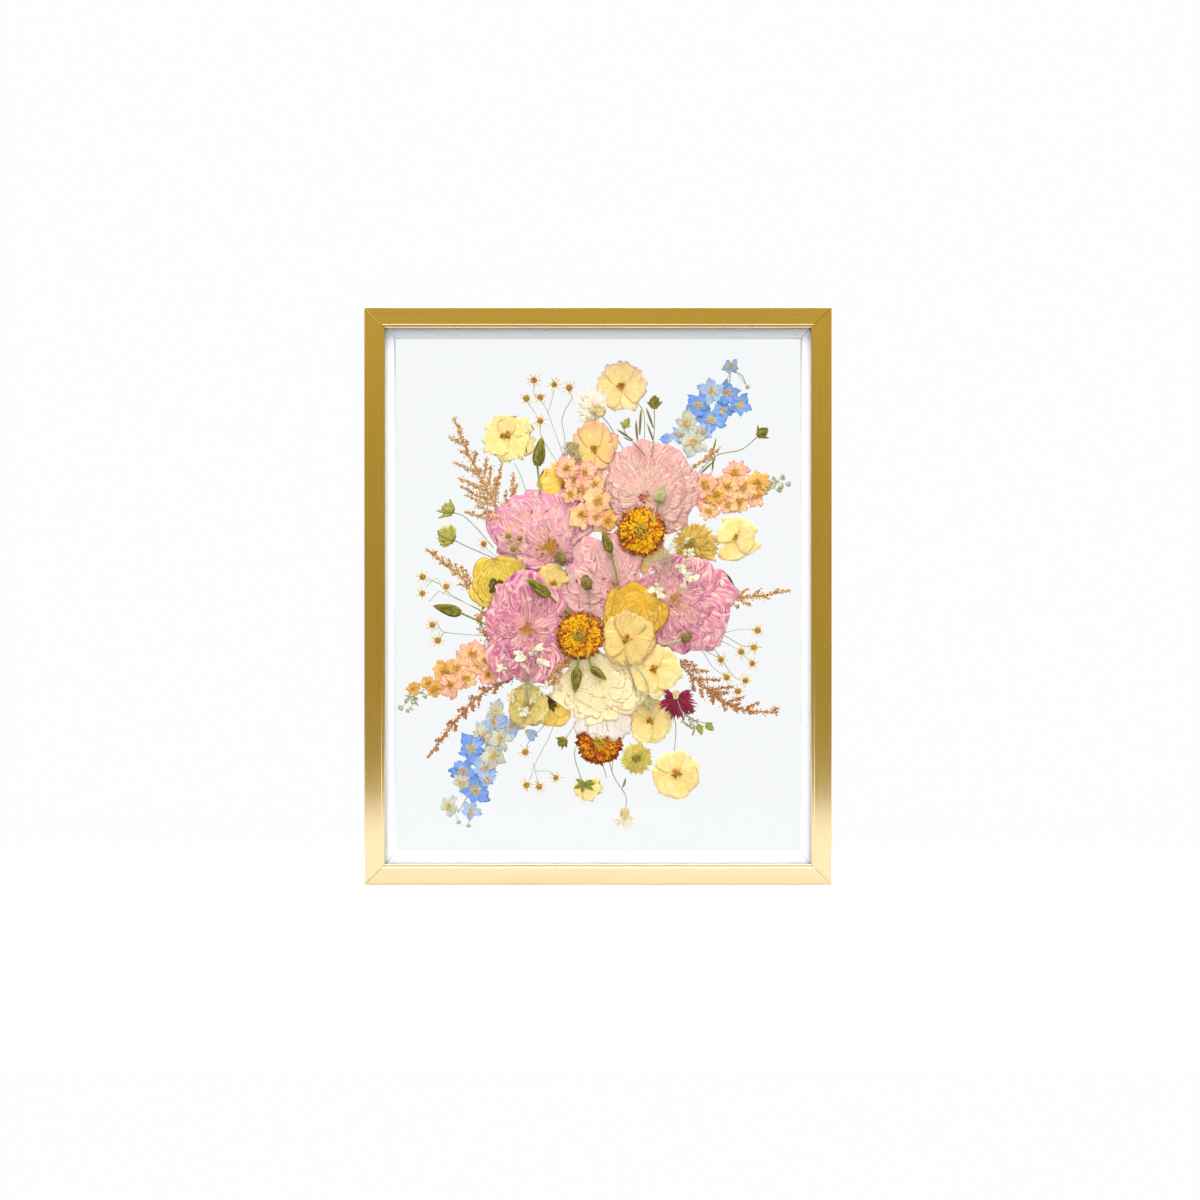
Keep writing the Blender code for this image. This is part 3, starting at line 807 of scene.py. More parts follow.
def add_rod(bunch, path, radius, end_radius=None, tone=0.5, kind=0, form=ROD, flat=0.8):
    """A stem along points of x, z and height. Its radius is a number, or a function of the way along."""
    end_radius = radius if end_radius is None else end_radius
    fine = smooth_path(path, 41)
    index = form.along * 40
    place = np.stack([np.interp(index, np.arange(41), fine[:, axis]) for axis in range(3)], 1)
    ahead = np.gradient(fine[:, :2], axis=0)
    ahead /= np.maximum(np.linalg.norm(ahead, axis=1), 1e-9)[:, None]
    step = np.stack([np.interp(index, np.arange(41), ahead[:, axis]) for axis in range(2)], 1)
    along = np.clip(form.along, 0, 1)
    thick = radius(along) if callable(radius) else radius + (end_radius - radius) * along
    thick = thick * np.hypot(form.points[:, 0], form.points[:, 1])
    turn = form.across * math.pi
    x = place[:, 0] - step[:, 1] * thick * np.cos(turn)
    z = place[:, 1] + step[:, 0] * thick * np.cos(turn)
    height = place[:, 2] + flat * thick * np.sin(turn)
    bunch.add(form, x[None], z[None], height[None], tone, kind)


def add_beads(bunch, rng, x, z, height, size, tones=0.5, kind=0, form=BEAD, flat=0.7, uneven=0.3):
    """Small grains, each turned and stretched its own way."""
    x = column(x)
    copies = len(x)
    turn = rng.uniform(0, 2 * math.pi, (copies, 1))
    grow = 1 + rng.uniform(-uneven, uneven, (3, copies, 1))
    size = column(size)
    local_x, local_y, local_z = (form.points[:, axis] for axis in range(3))
    wide = local_x * grow[0] * size
    deep = local_y * grow[1] * size
    x = x + np.cos(turn) * wide - np.sin(turn) * deep
    z = column(z) + np.sin(turn) * wide + np.cos(turn) * deep
    bunch.add(form, x, z, column(height) + local_z * flat * grow[2] * size, tones, kind)


def add_dome(bunch, x, z, height, radius, rise, tone, kind):
    """A low dome, which is round when its rise is as large as its radius."""
    points = DOME.points[None]
    x, z = x + radius * points[:, :, 0], z + radius * points[:, :, 1]
    bunch.add(DOME, x, z, height + rise * points[:, :, 2], tone, kind)


print("petals, wraps, rods and beads")

# %% [markdown]
# ## The colour of a petal
# Colour on a pressed petal runs from its heart to its rim, in streaks that follow the veins, with
# blotches where it bruised. Crease lines get painted shade, with a painted highlight where the grain rises,
# and the band along each margin is partly the rim's own colour and partly painted shade where petals
# overlap. One function paints all of that from the map and the tone that each bunch carries, and each
# kind of flower has its own set of colours.


# %% Petal finishes
def petal_finish(name, heart, body, rim, vein, edge=None, heart_end=0.35, rim_start=0.7, veins=0.5,
        streaks=24.0, blotch=None, blotches=0.35, edges=0.35, spread=0.16, crinkle=0.12, crease_shade_and_depth=0.3,
        roughness=0.75):
    """Colours from heart to rim, each from 0 to 255. The rest says how strongly each part shows, including
    the painted shade along crease lines and in the margin band.
    """
    heart, body, rim, vein = (tint(*colour) for colour in (heart, body, rim, vein))
    edge = tint(*edge) if edge else vein
    blotch = tint(*blotch) if blotch else vein
    finish = Finish(name, roughness=roughness, specular=0.1)
    place = finish.place()
    across, along, _ = finish.split(finish.node("ShaderNodeUVMap", {"uv_map": "petal"}))
    tone = finish.node("ShaderNodeAttribute", {"attribute_name": "tone"}, output="Fac")
    cloud = finish.noise(place, 95, 3.0, 0.6)
    grain = finish.noise(place, 460, 4.0, 0.7, 0.8)
    lines = finish.node("ShaderNodeCombineXYZ", None, {0: across * streaks, 1: along * 2.6, 2: tone * 31})
    streak = finish.noise(lines, 1.0, 3.0, 0.6, 0.35)
    wrinkle = finish.noise(lines, 0.8, 2.0, 0.5, 1.6)
    crease = 1.0 - abs(wrinkle - 0.5).rise(0.0, 0.05)
    outward = along + (cloud - 0.5) * 0.5 + (streak - 0.5) * 0.35
    colour = finish.mix(outward.rise(0.02, heart_end), heart, body)
    colour = finish.mix(outward.rise(rim_start, 1.05), colour, rim)
    bruise = (grain * 0.55 + cloud * 0.45).rise(0.47, 0.60)
    colour = finish.mix(bruise * blotches, colour, blotch)
    colour = finish.mix(streak.rise(0.44, 0.62) * veins, colour, vein)
    # The crease lines take the edge colour: painted shade where it is darker than the petal, a painted
    # highlight where it is lighter.
    colour = finish.mix(crease * crease_shade_and_depth, colour, edge)
    # A band along the petal's margin takes the edge colour: partly the rim's own colour, partly painted
    # shade for the darker look where petals overlap.
    rim_colour_and_overlap_shade = (abs(across * 2 - 1)).most(along).rise(0.90, 1.0)
    colour = finish.mix(rim_colour_and_overlap_shade * edges, colour, edge)
    # Painted shade and highlight: darker along the crease lines, lighter where the grain rises. The tone
    # and the cloud add a random tone of the petal's own.
    painted_crinkle_shade = crease * 0.5 * crease_shade_and_depth + grain.rise(0.35, 0.6) * -0.16 * crease_shade_and_depth
    shade = (tone + (cloud - 0.5)) * spread + (1 - spread * 0.7) - painted_crinkle_shade * 0.5
    grey = finish.node("ShaderNodeCombineXYZ", None, {channel: shade for channel in range(3)})
    colour = finish.mix(1.0, colour, grey, "MULTIPLY")
    finish.drive(Base_Color=colour, Roughness=roughness - 0.12 + grain * 0.24)
    finish.bump(streak * 0.5 + grain * 0.6 - crease * 0.5 * crease_shade_and_depth, 2 * crinkle * MM, 1.0)
    return finish.material


def plain_finish(name, dark, light, other, roughness=0.7, grains=900, crinkle=0.1):
    """Stamens, stems, grains: two colours by tone, with a mottle and a touch of a third."""
    dark, light, other = tint(*dark), tint(*light), tint(*other)
    finish = Finish(name, roughness=roughness, specular=0.15)
    place = finish.place()
    tone = finish.node("ShaderNodeAttribute", {"attribute_name": "tone"}, output="Fac")
    mottle = finish.noise(place, grains, 3.0, 0.6)
    colour = finish.mix((tone * 0.7 + mottle * 0.6 - 0.15).rise(0.05, 0.95), dark, light)
    patch = finish.noise(place, 240, 2.0).rise(0.52, 0.68)
    colour = finish.mix(patch * 0.55, colour, other)
    finish.drive(Base_Color=colour, Roughness=roughness - 0.1 + mottle * 0.2)
    finish.bump(mottle, crinkle * MM, 0.8)
    return finish.material


POLLEN = plain_finish("pollen_ochre", (170, 110, 24), (226, 176, 72), (196, 120, 30))
UMBER = plain_finish("umber_heart", (94, 58, 18), (176, 112, 34), (120, 84, 26))
OLIVE = plain_finish("olive_heart", (92, 84, 28), (164, 150, 70), (122, 96, 36))
GREY_STALK = plain_finish("stalk_grey_green", (140, 148, 122), (190, 196, 172), (150, 146, 110))
BROWN_STALK = plain_finish("stalk_brown", (120, 84, 44), (172, 132, 80), (138, 116, 62))
MAGENTA_DOT = plain_finish("magenta_heart", (128, 22, 70), (196, 44, 118), (150, 60, 60))
print("finishes for hearts and stalks")

# %% [markdown]
# ## Open blooms with one ring of petals
# Six to ten broad petals overlap round a small boss. The edge of each lies over its neighbour, and a
# star of brown threads spreads from the boss over the yellow heart. The bloom fills the outline of its
# solid from whatever point its hub has, since a flower pressed at a slant has its heart off centre.


# %% Open blooms
def add_boss(bunch, rng, x, z, height, size, threads=26, grains=22, star=7):
    """Stamens round a boss: brown star, ochre threads, then olive and umber grains."""
    turns = rng.uniform(0, 2 * math.pi, star)
    add_petals(bunch, SCALE, Look(base=0.5, tip=0.1, folds=0.05), rng, x, z, turns,
        size * rng.uniform(0.7, 1.25, star), size * 0.16, height + 0.1, 2)
    for turn in rng.uniform(0, 2 * math.pi, threads):
        length = size * rng.uniform(0.35, 0.95)
        bend = turn + rng.uniform(-0.5, 0.5)
        ends = [(0, 0), (0.5 * math.cos(turn), 0.5 * math.sin(turn)), (math.cos(bend), math.sin(bend))]
        path = [(x + length * a, z + length * b, height + 0.3 + 0.2 * i) for i, (a, b) in enumerate(ends)]
        add_rod(bunch, path, size * 0.022 + 0.05, tone=rng.uniform(), kind=1, form=TWIG)
        add_beads(bunch, rng, path[2][0], path[2][1], path[2][2], 0.06 * size + 0.12, rng.uniform(), 1)
    angle = rng.uniform(0, 2 * math.pi, grains)
    out = size * 0.36 * np.sqrt(rng.uniform(0, 1, grains))
    add_beads(bunch, rng, x + out * np.cos(angle), z + out * np.sin(angle), height + 0.35, size * 0.10,
        rng.uniform(0, 1, grains), rng.integers(2, 4))


def open_bloom(node, name, finish, slot, seed, petals=8, look=None, hub=(0, 0), turn=0.0, boss=0.2,
        overlap=1.5, uneven=0.06):
    """One ring of petals inside the solid's outline."""
    spot, bunch, rng = begin(node, seed)
    turns = turn + ring_of(rng, petals, 0.12)
    lengths = spot.reach(turns, hub) * (1 + rng.uniform(-uneven, uneven, petals))
    widths = lengths * math.tan(math.pi / petals) * overlap
    room = spot.front - spot.rear
    heights = spot.rear + 0.15 + (room - 0.3) * ((np.arange(petals) * 3) % petals) / petals
    add_petals(bunch, PETAL, look or Look(), rng, spot.x + hub[0], spot.z + hub[1], turns, lengths, widths,
        heights)
    size = boss * min(spot.half_x, spot.half_z)
    add_boss(bunch, rng, spot.x + hub[0], spot.z + hub[1], spot.front, size)
    return bunch.finish(name, [finish, POLLEN, UMBER, OLIVE], slot, node)


PEACH = petal_finish("petal_peach", (238, 198, 96), (247, 218, 146), (234, 190, 172), (228, 184, 112),
    edge=(214, 150, 122), heart_end=0.45, rim_start=0.72, blotch=(250, 232, 190), edges=0.3)
LEMON = petal_finish("petal_lemon", (232, 186, 90), (243, 211, 138), (238, 227, 180), (222, 188, 100),
    edge=(226, 200, 116), blotch=(250, 240, 196))
PALE_LEMON = petal_finish("petal_pale_lemon", (226, 180, 88), (241, 212, 144), (235, 223, 172),
    (216, 190, 104), edge=(218, 200, 112), veins=0.65, blotch=(240, 236, 160), crinkle=0.2)
BLUSH = petal_finish("petal_blush", (222, 180, 80), (226, 198, 118), (216, 180, 126), (202, 158, 90),
    edge=(190, 140, 96), veins=0.6, streaks=30, blotch=(236, 212, 146), rim_start=0.78, edges=0.55)
MAUVE_EDGE = petal_finish("petal_mauve_edge", (242, 200, 104), (241, 200, 124), (212, 152, 136),
    (216, 164, 104), edge=(176, 120, 104), heart_end=0.5, rim_start=0.52, blotch=(246, 216, 158), edges=0.4)
OLIVE_YELLOW = petal_finish("petal_olive_yellow", (196, 160, 62), (216, 188, 108), (224, 206, 144),
    (166, 142, 64), edge=(186, 164, 92), blotch=(232, 220, 170), blotches=0.5)
GOLDEN = petal_finish("petal_golden", (232, 184, 60), (243, 206, 96), (246, 210, 128), (214, 160, 60),
    edge=(200, 146, 60), blotch=(248, 216, 150))
WILD = Look(base=0.3, belly=0.66, tip=0.5, rounding=0.12, wave=0.10, teeth=2.4, tooth=0.05, folds=0.22,
    waves=7)
RUFFLED = Look(base=0.3, belly=0.72, tip=0.62, rounding=0.16, wave=0.06, notch=0.045, folds=0.12, waves=6)

open_bloom("cosmos_peach_top", "bloom_peach_top", PEACH, "cosmos_peach", 11, 10, RUFFLED, turn=0.2,
    overlap=1.3)
open_bloom("cosmos_yellow_left", "bloom_yellow_left", PALE_LEMON, "cosmos_lemon", 12, 8, WILD,
    hub=(-1.0, 2.5), uneven=0.12, boss=0.26)
open_bloom("cosmos_peach_middle", "bloom_mauve_edged", MAUVE_EDGE, "cosmos_peach", 13, 9, RUFFLED,
    hub=(1.5, -2.5), turn=0.35, overlap=1.3)
open_bloom("cosmos_yellow_behind", "bloom_golden", GOLDEN, "cosmos_lemon", 14, 6, WILD, hub=(6, -6),
    boss=0.35)
open_bloom("cosmos_blush", "bloom_blush", BLUSH, "cosmos_peach", 15, 9, RUFFLED, hub=(-1.5, -0.5),
    overlap=1.7, uneven=0.03)
open_bloom("cosmos_lemon_right", "bloom_lemon_right", LEMON, "cosmos_lemon", 16, 8, RUFFLED,
    hub=(-1.5, 0.8), turn=0.3)
open_bloom("cosmos_lemon_lower", "bloom_lemon_lower", LEMON, "cosmos_lemon", 17, 8, RUFFLED, hub=(0, -1),
    turn=0.1)
open_bloom("cosmos_lemon_bottom", "bloom_lemon_bottom", LEMON, "cosmos_lemon", 18, 8, RUFFLED, hub=(0, 0),
    turn=0.5, boss=0.24)
open_bloom("cosmos_cream_small", "bloom_cream_small", BLUSH, "cosmos_peach", 19, 6, RUFFLED, hub=(3.5, -5),
    boss=0.3)
open_bloom("cosmos_under_lace", "bloom_under_lace", OLIVE_YELLOW, "cosmos_lemon", 20, 7, WILD, hub=(1, 1))

# %% [markdown]
# ## Peonies
# A pressed peony is a crowd of crinkled petals flattened into a disc. Three or four rings of broad petals,
# the outer ones reaching the edge and the inner ones shorter, are each folded hard, so that their folds
# catch the light in fine radiating lines, deepened by painted shade. Ochre stamens tangle over the hub.


# %% Peonies
def add_stamens(bunch, rng, x, z, height, reach, count, kind=1, thick=0.16):
    for turn in rng.uniform(0, 2 * math.pi, count):
        length = reach * rng.uniform(0.3, 1.0)
        start = rng.normal(0, reach * 0.22, 2)
        bend = turn + rng.uniform(-1.1, 1.1)
        middle = start + 0.5 * length * np.array((math.cos(turn), math.sin(turn)))
        end = middle + 0.5 * length * np.array((math.cos(bend), math.sin(bend)))
        path = [(x + a, z + b, height + 0.2 * i) for i, (a, b) in enumerate((start, middle, end))]
        add_rod(bunch, path, thick, tone=rng.uniform(), kind=kind, form=TWIG)
        add_beads(bunch, rng, x + end[0], z + end[1], height + 0.45, 2.2 * thick, rng.uniform(), kind)


def peony(node, name, finish, slot, seed, hub, rings, look, stamens=30, spread=7.0, dots=5, uneven=0.08):
    """Rings are (how many, share of the reach, share of the usual width)."""
    spot, bunch, rng = begin(node, seed)
    room = spot.front - spot.rear
    for ring, (petals, share, wide) in enumerate(rings):
        turns = ring_of(rng, petals, 0.3) + ring * 1.3
        lengths = spot.reach(turns, hub) * share * (1 + rng.uniform(-uneven, uneven, petals))
        widths = wide * lengths * math.tan(math.pi / petals) * 1.6
        low = spot.rear + 0.25 + (room - 0.5) * ring / len(rings)
        heights = low + rng.uniform(0, 0.25, petals)
        start = rng.normal(0, 1.6 * ring, (2, petals))
        add_petals(bunch, BROAD, look, rng, spot.x + hub[0] + start[0], spot.z + hub[1] + start[1], turns,
            lengths, widths, heights)
    x, z = spot.x + hub[0], spot.z + hub[1]
    add_stamens(bunch, rng, x, z, spot.front + 0.1, spread, stamens)
    spots = rng.normal(0, spread * 0.35, (2, dots))
    add_petals(bunch, SCALE, Look(base=0.4, tip=0.4, folds=0.1), rng, x + spots[0], z + spots[1],
        rng.uniform(0, 6.28, dots), rng.uniform(2, 4, dots), 0.8, spot.front + 0.1, 2)
    return bunch.finish(name, [finish, POLLEN, MAGENTA_DOT], slot, node)


PINK_SILK = petal_finish("petal_silk_pink", (212, 168, 120), (222, 176, 148), (224, 156, 156),
    (244, 216, 198), edge=(214, 142, 148), blotch=(206, 124, 136), streaks=34, veins=0.85, blotches=0.65,
    edges=0.4, spread=0.2, crease_shade_and_depth=0.45, crinkle=0.3)
PINK_CLOUD = petal_finish("petal_cloud_pink", (224, 176, 118), (226, 174, 148), (218, 132, 172),
    (244, 210, 194), edge=(212, 126, 156), heart_end=0.6, rim_start=0.5, blotch=(210, 104, 160), streaks=24,
    veins=0.7, blotches=0.7, edges=0.4, spread=0.2, crease_shade_and_depth=0.5, crinkle=0.4)
PINK_FOLD = petal_finish("petal_folded_pink", (216, 158, 132), (224, 166, 156), (226, 162, 164),
    (244, 206, 190), edge=(204, 126, 140), blotch=(218, 146, 158), streaks=18, veins=0.75, blotches=0.6,
    edges=0.6, spread=0.2, crease_shade_and_depth=0.4, crinkle=0.4)
MAGENTA_LEFT = petal_finish("petal_magenta_deep", (220, 160, 116), (214, 128, 140), (198, 84, 146),
    (246, 206, 188), edge=(238, 176, 186), heart_end=0.3, rim_start=0.55, blotch=(180, 52, 120), streaks=22,
    veins=0.8, blotches=0.85, edges=0.4, spread=0.22, crease_shade_and_depth=0.45, crinkle=0.35)
MAGENTA_RIGHT = petal_finish("petal_magenta_soft", (222, 166, 122), (220, 148, 146), (202, 88, 146),
    (246, 208, 188), edge=(240, 184, 190), heart_end=0.45, rim_start=0.55, blotch=(182, 60, 122),
    streaks=22, veins=0.8, blotches=0.8, edges=0.4, spread=0.22, crease_shade_and_depth=0.45, crinkle=0.35)
SILKY = Look(base=0.24, belly=0.74, tip=0.86, rounding=0.10, wave=0.035, folds=0.32, waves=16)
CLOUDY = Look(base=0.25, belly=0.7, tip=0.72, rounding=0.18, wave=0.09, folds=0.45, waves=10, notch=0.05)

peony("peony_pink_top", "peony_silk", PINK_SILK, "peony_pink", 31, (-4, -7),
    [(18, 1.0, 1.5), (15, 0.82, 1.2), (12, 0.62, 1.0), (9, 0.4, 0.9)], SILKY, 22, 6, 16, 0.04)
peony("peony_pink_left", "peony_cloud", PINK_CLOUD, "peony_pink", 32, (13, -17),
    [(11, 1.0, 1.2), (10, 0.84, 1.0), (9, 0.64, 0.9), (8, 0.42, 0.8)], CLOUDY, 70, 13, 8, 0.12)
peony("peony_pink_middle", "peony_folded", PINK_FOLD, "peony_pink", 33, (10, -14),
    [(10, 1.0, 1.2), (9, 0.8, 0.9), (9, 0.62, 0.8), (7, 0.4, 0.7)], CLOUDY, 12, 8, 6, 0.12)
peony("peony_magenta_right", "peony_magenta_soft", MAGENTA_RIGHT, "peony_magenta", 34, (-6, 8),
    [(10, 1.0, 1.25), (10, 0.82, 1.0), (9, 0.62, 0.9), (7, 0.42, 0.8)], CLOUDY, 40, 9, 5, 0.12)
peony("peony_magenta_left", "peony_magenta_deep", MAGENTA_LEFT, "peony_magenta", 35, (4, 2),
    [(10, 1.0, 1.2), (10, 0.84, 1.0), (9, 0.64, 0.9), (8, 0.45, 0.8)], CLOUDY, 40, 9, 5, 0.14)

# %% [markdown]
# ## The cream rose
# The garden rose at the bottom of the bouquet opened flat into many short petals. It is made as the
# peonies are, with more and shorter rings that start from scattered points, so that no single hub
# shows. Three thin outer petals went glassy and grey-violet in the press, and hang below the rest.

# %% Rose
CREAM = petal_finish("petal_cream", (240, 216, 158), (246, 229, 180), (249, 238, 204), (232, 208, 146),
    edge=(218, 182, 118), heart_end=0.3, blotch=(236, 212, 150), streaks=16, veins=0.4, blotches=0.35,
    edges=0.6, spread=0.08, crinkle=0.2)
GLASSY = petal_finish("petal_glassy", (238, 224, 196), (234, 222, 208), (226, 216, 214), (204, 186, 176),
    edge=(190, 160, 140), veins=0.5, streaks=20, blotches=0.3, edges=0.6)
ROSY = Look(base=0.3, belly=0.7, tip=0.72, rounding=0.14, wave=0.10, folds=0.2, waves=8, notch=0.04)


def cream_rose():
    spot, bunch, rng = begin("rose_cream", 41)
    rings = [(12, 1.0, 1.1), (12, 0.84, 1.0), (12, 0.66, 0.95), (11, 0.5, 0.95), (9, 0.36, 0.9),
        (6, 0.24, 0.9)]
    room = spot.front - spot.rear
    for ring, (petals, share, wide) in enumerate(rings):
        turns = ring_of(rng, petals, 0.4) + ring
        start = rng.normal(0, 2.2 + ring, (2, petals))
        lengths = spot.reach(turns) * share - 0.5 * np.hypot(*start)
        lengths = lengths * (1 - 0.25 * np.maximum(-np.sin(turns), 0))
        widths = wide * lengths * math.tan(math.pi / petals) * 1.7
        heights = spot.rear + 0.25 + (room - 0.4) * ring / len(rings) + rng.uniform(0, 0.25, petals)
        add_petals(bunch, BROAD, ROSY, rng, spot.x + start[0], spot.z + start[1], turns, lengths, widths,
            heights)
    turns = np.radians([246, 272, 298])
    add_petals(bunch, BROAD, ROSY, rng, spot.x + np.array((-3, 2, 7)), spot.z - 14, turns,
        np.array((32, 35, 32)), np.array((13, 15, 13)), spot.rear + 0.1, 1)
    bunch.finish("rose_many_petalled", [CREAM, GLASSY], "rose_cream", "rose_cream")


cream_rose()

# %% [markdown]
# ## Ranunculus
# A ranunculus keeps its petals wrapped round it. Each coat is a sheet that curves round the hub, and
# smaller coats lie on larger ones, so their rims draw the broken circles that give the flower away. A
# dark crescent of stamens shows where the innermost coats part.

# %% Ranunculus
RANUNCULUS_YELLOW = petal_finish("petal_buttery", (212, 176, 44), (218, 186, 66), (230, 202, 100),
    (184, 142, 34), edge=(176, 126, 30), blotch=(240, 220, 140), streaks=10, veins=0.45, edges=0.8,
    crinkle=0.2)
RANUNCULUS_GOLD = petal_finish("petal_egg_yolk", (204, 156, 20), (216, 170, 44), (222, 178, 66),
    (190, 136, 26), edge=(180, 118, 26), blotch=(238, 208, 140), streaks=10, veins=0.4, edges=0.8,
    crinkle=0.25)


def ranunculus(node, name, finish, seed, hub, crescent):
    spot, bunch, rng = begin(node, seed)
    room = spot.front - spot.rear
    coats = [(1.0, 5, 0.82), (0.86, 5, 0.85), (0.72, 5, 0.9), (0.59, 4, 1.0), (0.47, 4, 1.05),
        (0.36, 3, 1.2)]
    for coat, (share, petals, span) in enumerate(coats):
        turns = ring_of(rng, petals, 0.15) + 0.7 * coat
        outer = spot.reach(turns, np.array(hub) * (1 - share)) * share * rng.uniform(0.96, 1.04, petals)
        heights = spot.rear + 0.15 + (room - 0.3) * coat / len(coats) + rng.uniform(0, 0.12, petals)
        centre = (spot.x + hub[0] * (1 - share), spot.z + hub[1] * (1 - share))
        add_wraps(bunch, BROAD, rng, centre, turns, outer * 0.25, outer, np.full(petals, span), heights,
            tones=rng.uniform(0, 1, petals), folds=0.18, wave=0.06)
    x, z = spot.x + hub[0], spot.z + hub[1]
    for turn, inner, outer, span in crescent:
        add_wraps(bunch, PETAL, rng, (x, z), [math.radians(turn)], [inner], [outer], [math.radians(span)],
            spot.front + 0.1, tones=0.3, kind=1, folds=0.3)
    out = rng.uniform(2, 7, 60)
    angle = np.radians(rng.normal(crescent[0][0], 70, 60))
    add_beads(bunch, rng, x + out * np.cos(angle), z + out * np.sin(angle), spot.front + 0.4,
        rng.uniform(0.3, 0.7, 60), rng.uniform(0, 1, 60), 2)
    add_dome(bunch, x, z, (spot.rear + spot.front) / 2, 8, 0.4, 0.3, 0)
    bunch.finish(name, [finish, UMBER_DEEP, OLIVE], "ranunculus_yellow", node)


UMBER_DEEP = plain_finish("umber_deep", (58, 44, 14), (128, 100, 30), (86, 80, 26), crinkle=0.3)
ranunculus("ranunculus_yellow", "ranunculus_buttery", RANUNCULUS_YELLOW, 51, (-1.5, -1.5),
    [(150, 3, 9, 62), (60, 3.5, 7, 38), (215, 4, 9, 26)])
ranunculus("ranunculus_gold", "ranunculus_egg_yolk", RANUNCULUS_GOLD, 52, (0, -4), [(90, 3, 6, 70)])

# %% [markdown]
# ## Strawflowers
# A strawflower is a button: rust-brown papery bracts round the rim, then hundreds of tiny golden
# florets with red flecks, and a small olive eye. Each floret is the same slip of a few faces, placed on
# rings that grow tighter towards the eye and rise a little to a low crown.

# %% Strawflowers
def flecked_gold(name, gold, deep, fleck, flecks):
    """Papery slips in two golds. The share of flecks goes from 0 to 1."""
    finish = Finish(name, roughness=0.6, specular=0.12)
    tone = finish.node("ShaderNodeAttribute", {"attribute_name": "tone"}, output="Fac")
    _, along, _ = finish.split(finish.node("ShaderNodeUVMap", {"uv_map": "petal"}))
    mottle = finish.noise(finish.place(), 420, 3.0, 0.6)
    patch = finish.noise(finish.place(), 190, 2.0, 0.5)
    colour = finish.mix(along * 0.7 + mottle * 0.3, deep, gold)
    red = (tone * 0.45 + patch * 0.9 + mottle * 0.3).rise(1.0 - 0.4 * flecks, 1.16 - 0.4 * flecks)
    colour = finish.mix(red, colour, fleck)
    finish.drive(Base_Color=colour, Roughness=0.5 + mottle * 0.2)
    finish.bump(mottle, 0.2 * MM, 0.8)
    return finish.material


STRAW_GOLD = flecked_gold("florets_gold", tint(236, 184, 6), tint(206, 142, 2), tint(180, 88, 4), 0.42)
STRAW_RUSTY = flecked_gold("florets_rusty", tint(228, 166, 6), tint(192, 112, 4), tint(156, 60, 8), 0.75)
BRACT = flecked_gold("bracts_rust", tint(192, 112, 34), tint(146, 72, 16), tint(116, 50, 14), 0.6)
BRACT_RED = flecked_gold("bracts_red", tint(184, 88, 28), tint(138, 56, 16), tint(112, 40, 14), 0.7)
PRICKLE = Look(base=0.7, belly=0.4, tip=0.15, rounding=0.0, wave=0.1, folds=0.12, waves=3)


def strawflower(node, name, seed, florets, bracts):
    spot, bunch, rng = begin(node, seed)
    size = min(spot.half_x, spot.half_z)
    middle = (spot.rear + spot.front) / 2 - 0.2
    add_dome(bunch, spot.x, spot.z, middle, 0.84 * size, 0.6, 0.3, 1)
    for ring in range(5):
        count = 46
        turns = ring_of(rng, count, 0.5)
        start = size * (0.74 - 0.05 * ring)
        ends = spot.reach(turns) * rng.uniform(0.94, 1.02, count) * (1 - 0.055 * ring)
        add_petals(bunch, SCALE, PRICKLE, rng, spot.x + start * np.cos(turns),
            spot.z + start * np.sin(turns), turns + rng.normal(0, 0.25, count), ends - start, 0.08 * size,
            spot.rear + 0.3 + 0.4 * ring, 1)
    out = size * 0.74 * np.sqrt(rng.uniform(0.1, 1, 420))
    angle = rng.uniform(0, 2 * math.pi, 420)
    add_petals(bunch, SCALE, PRICKLE, rng, spot.x + out * np.cos(angle), spot.z + out * np.sin(angle),
        angle + rng.normal(0, 0.8, 420), size * rng.uniform(0.09, 0.19, 420), 0.044 * size,
        middle + 0.9 + 0.5 * (1 - out / size) + rng.uniform(-0.15, 0.25, 420), 0)
    out = size * 0.26 * np.sqrt(rng.uniform(0, 1, 110))
    angle = rng.uniform(0, 2 * math.pi, 110)
    add_beads(bunch, rng, spot.x + out * np.cos(angle), spot.z + out * np.sin(angle), spot.front + 0.1,
        size * 0.032, rng.uniform(0, 1, 110), 2, flat=1.2)
    bunch.finish(name, [florets, bracts, EYE], "strawflower_rust", node)


EYE = plain_finish("strawflower_eye", (150, 124, 34), (206, 178, 58), (196, 120, 20))
strawflower("strawflower_top", "strawflower_upper", 61, STRAW_GOLD, BRACT)
strawflower("strawflower_middle", "strawflower_centre", 62, STRAW_GOLD, BRACT)
strawflower("strawflower_bottom", "strawflower_lower", 63, STRAW_RUSTY, BRACT_RED)

# %% [markdown]
# ## Scabious and cornflowers
# Both are heads of many narrow frilled florets. On a scabious they stand in crowded rings of short
# frills, with a few more over the heart. On a cornflower they are trumpets that spread from a scaly
# green cup and split at the mouth.

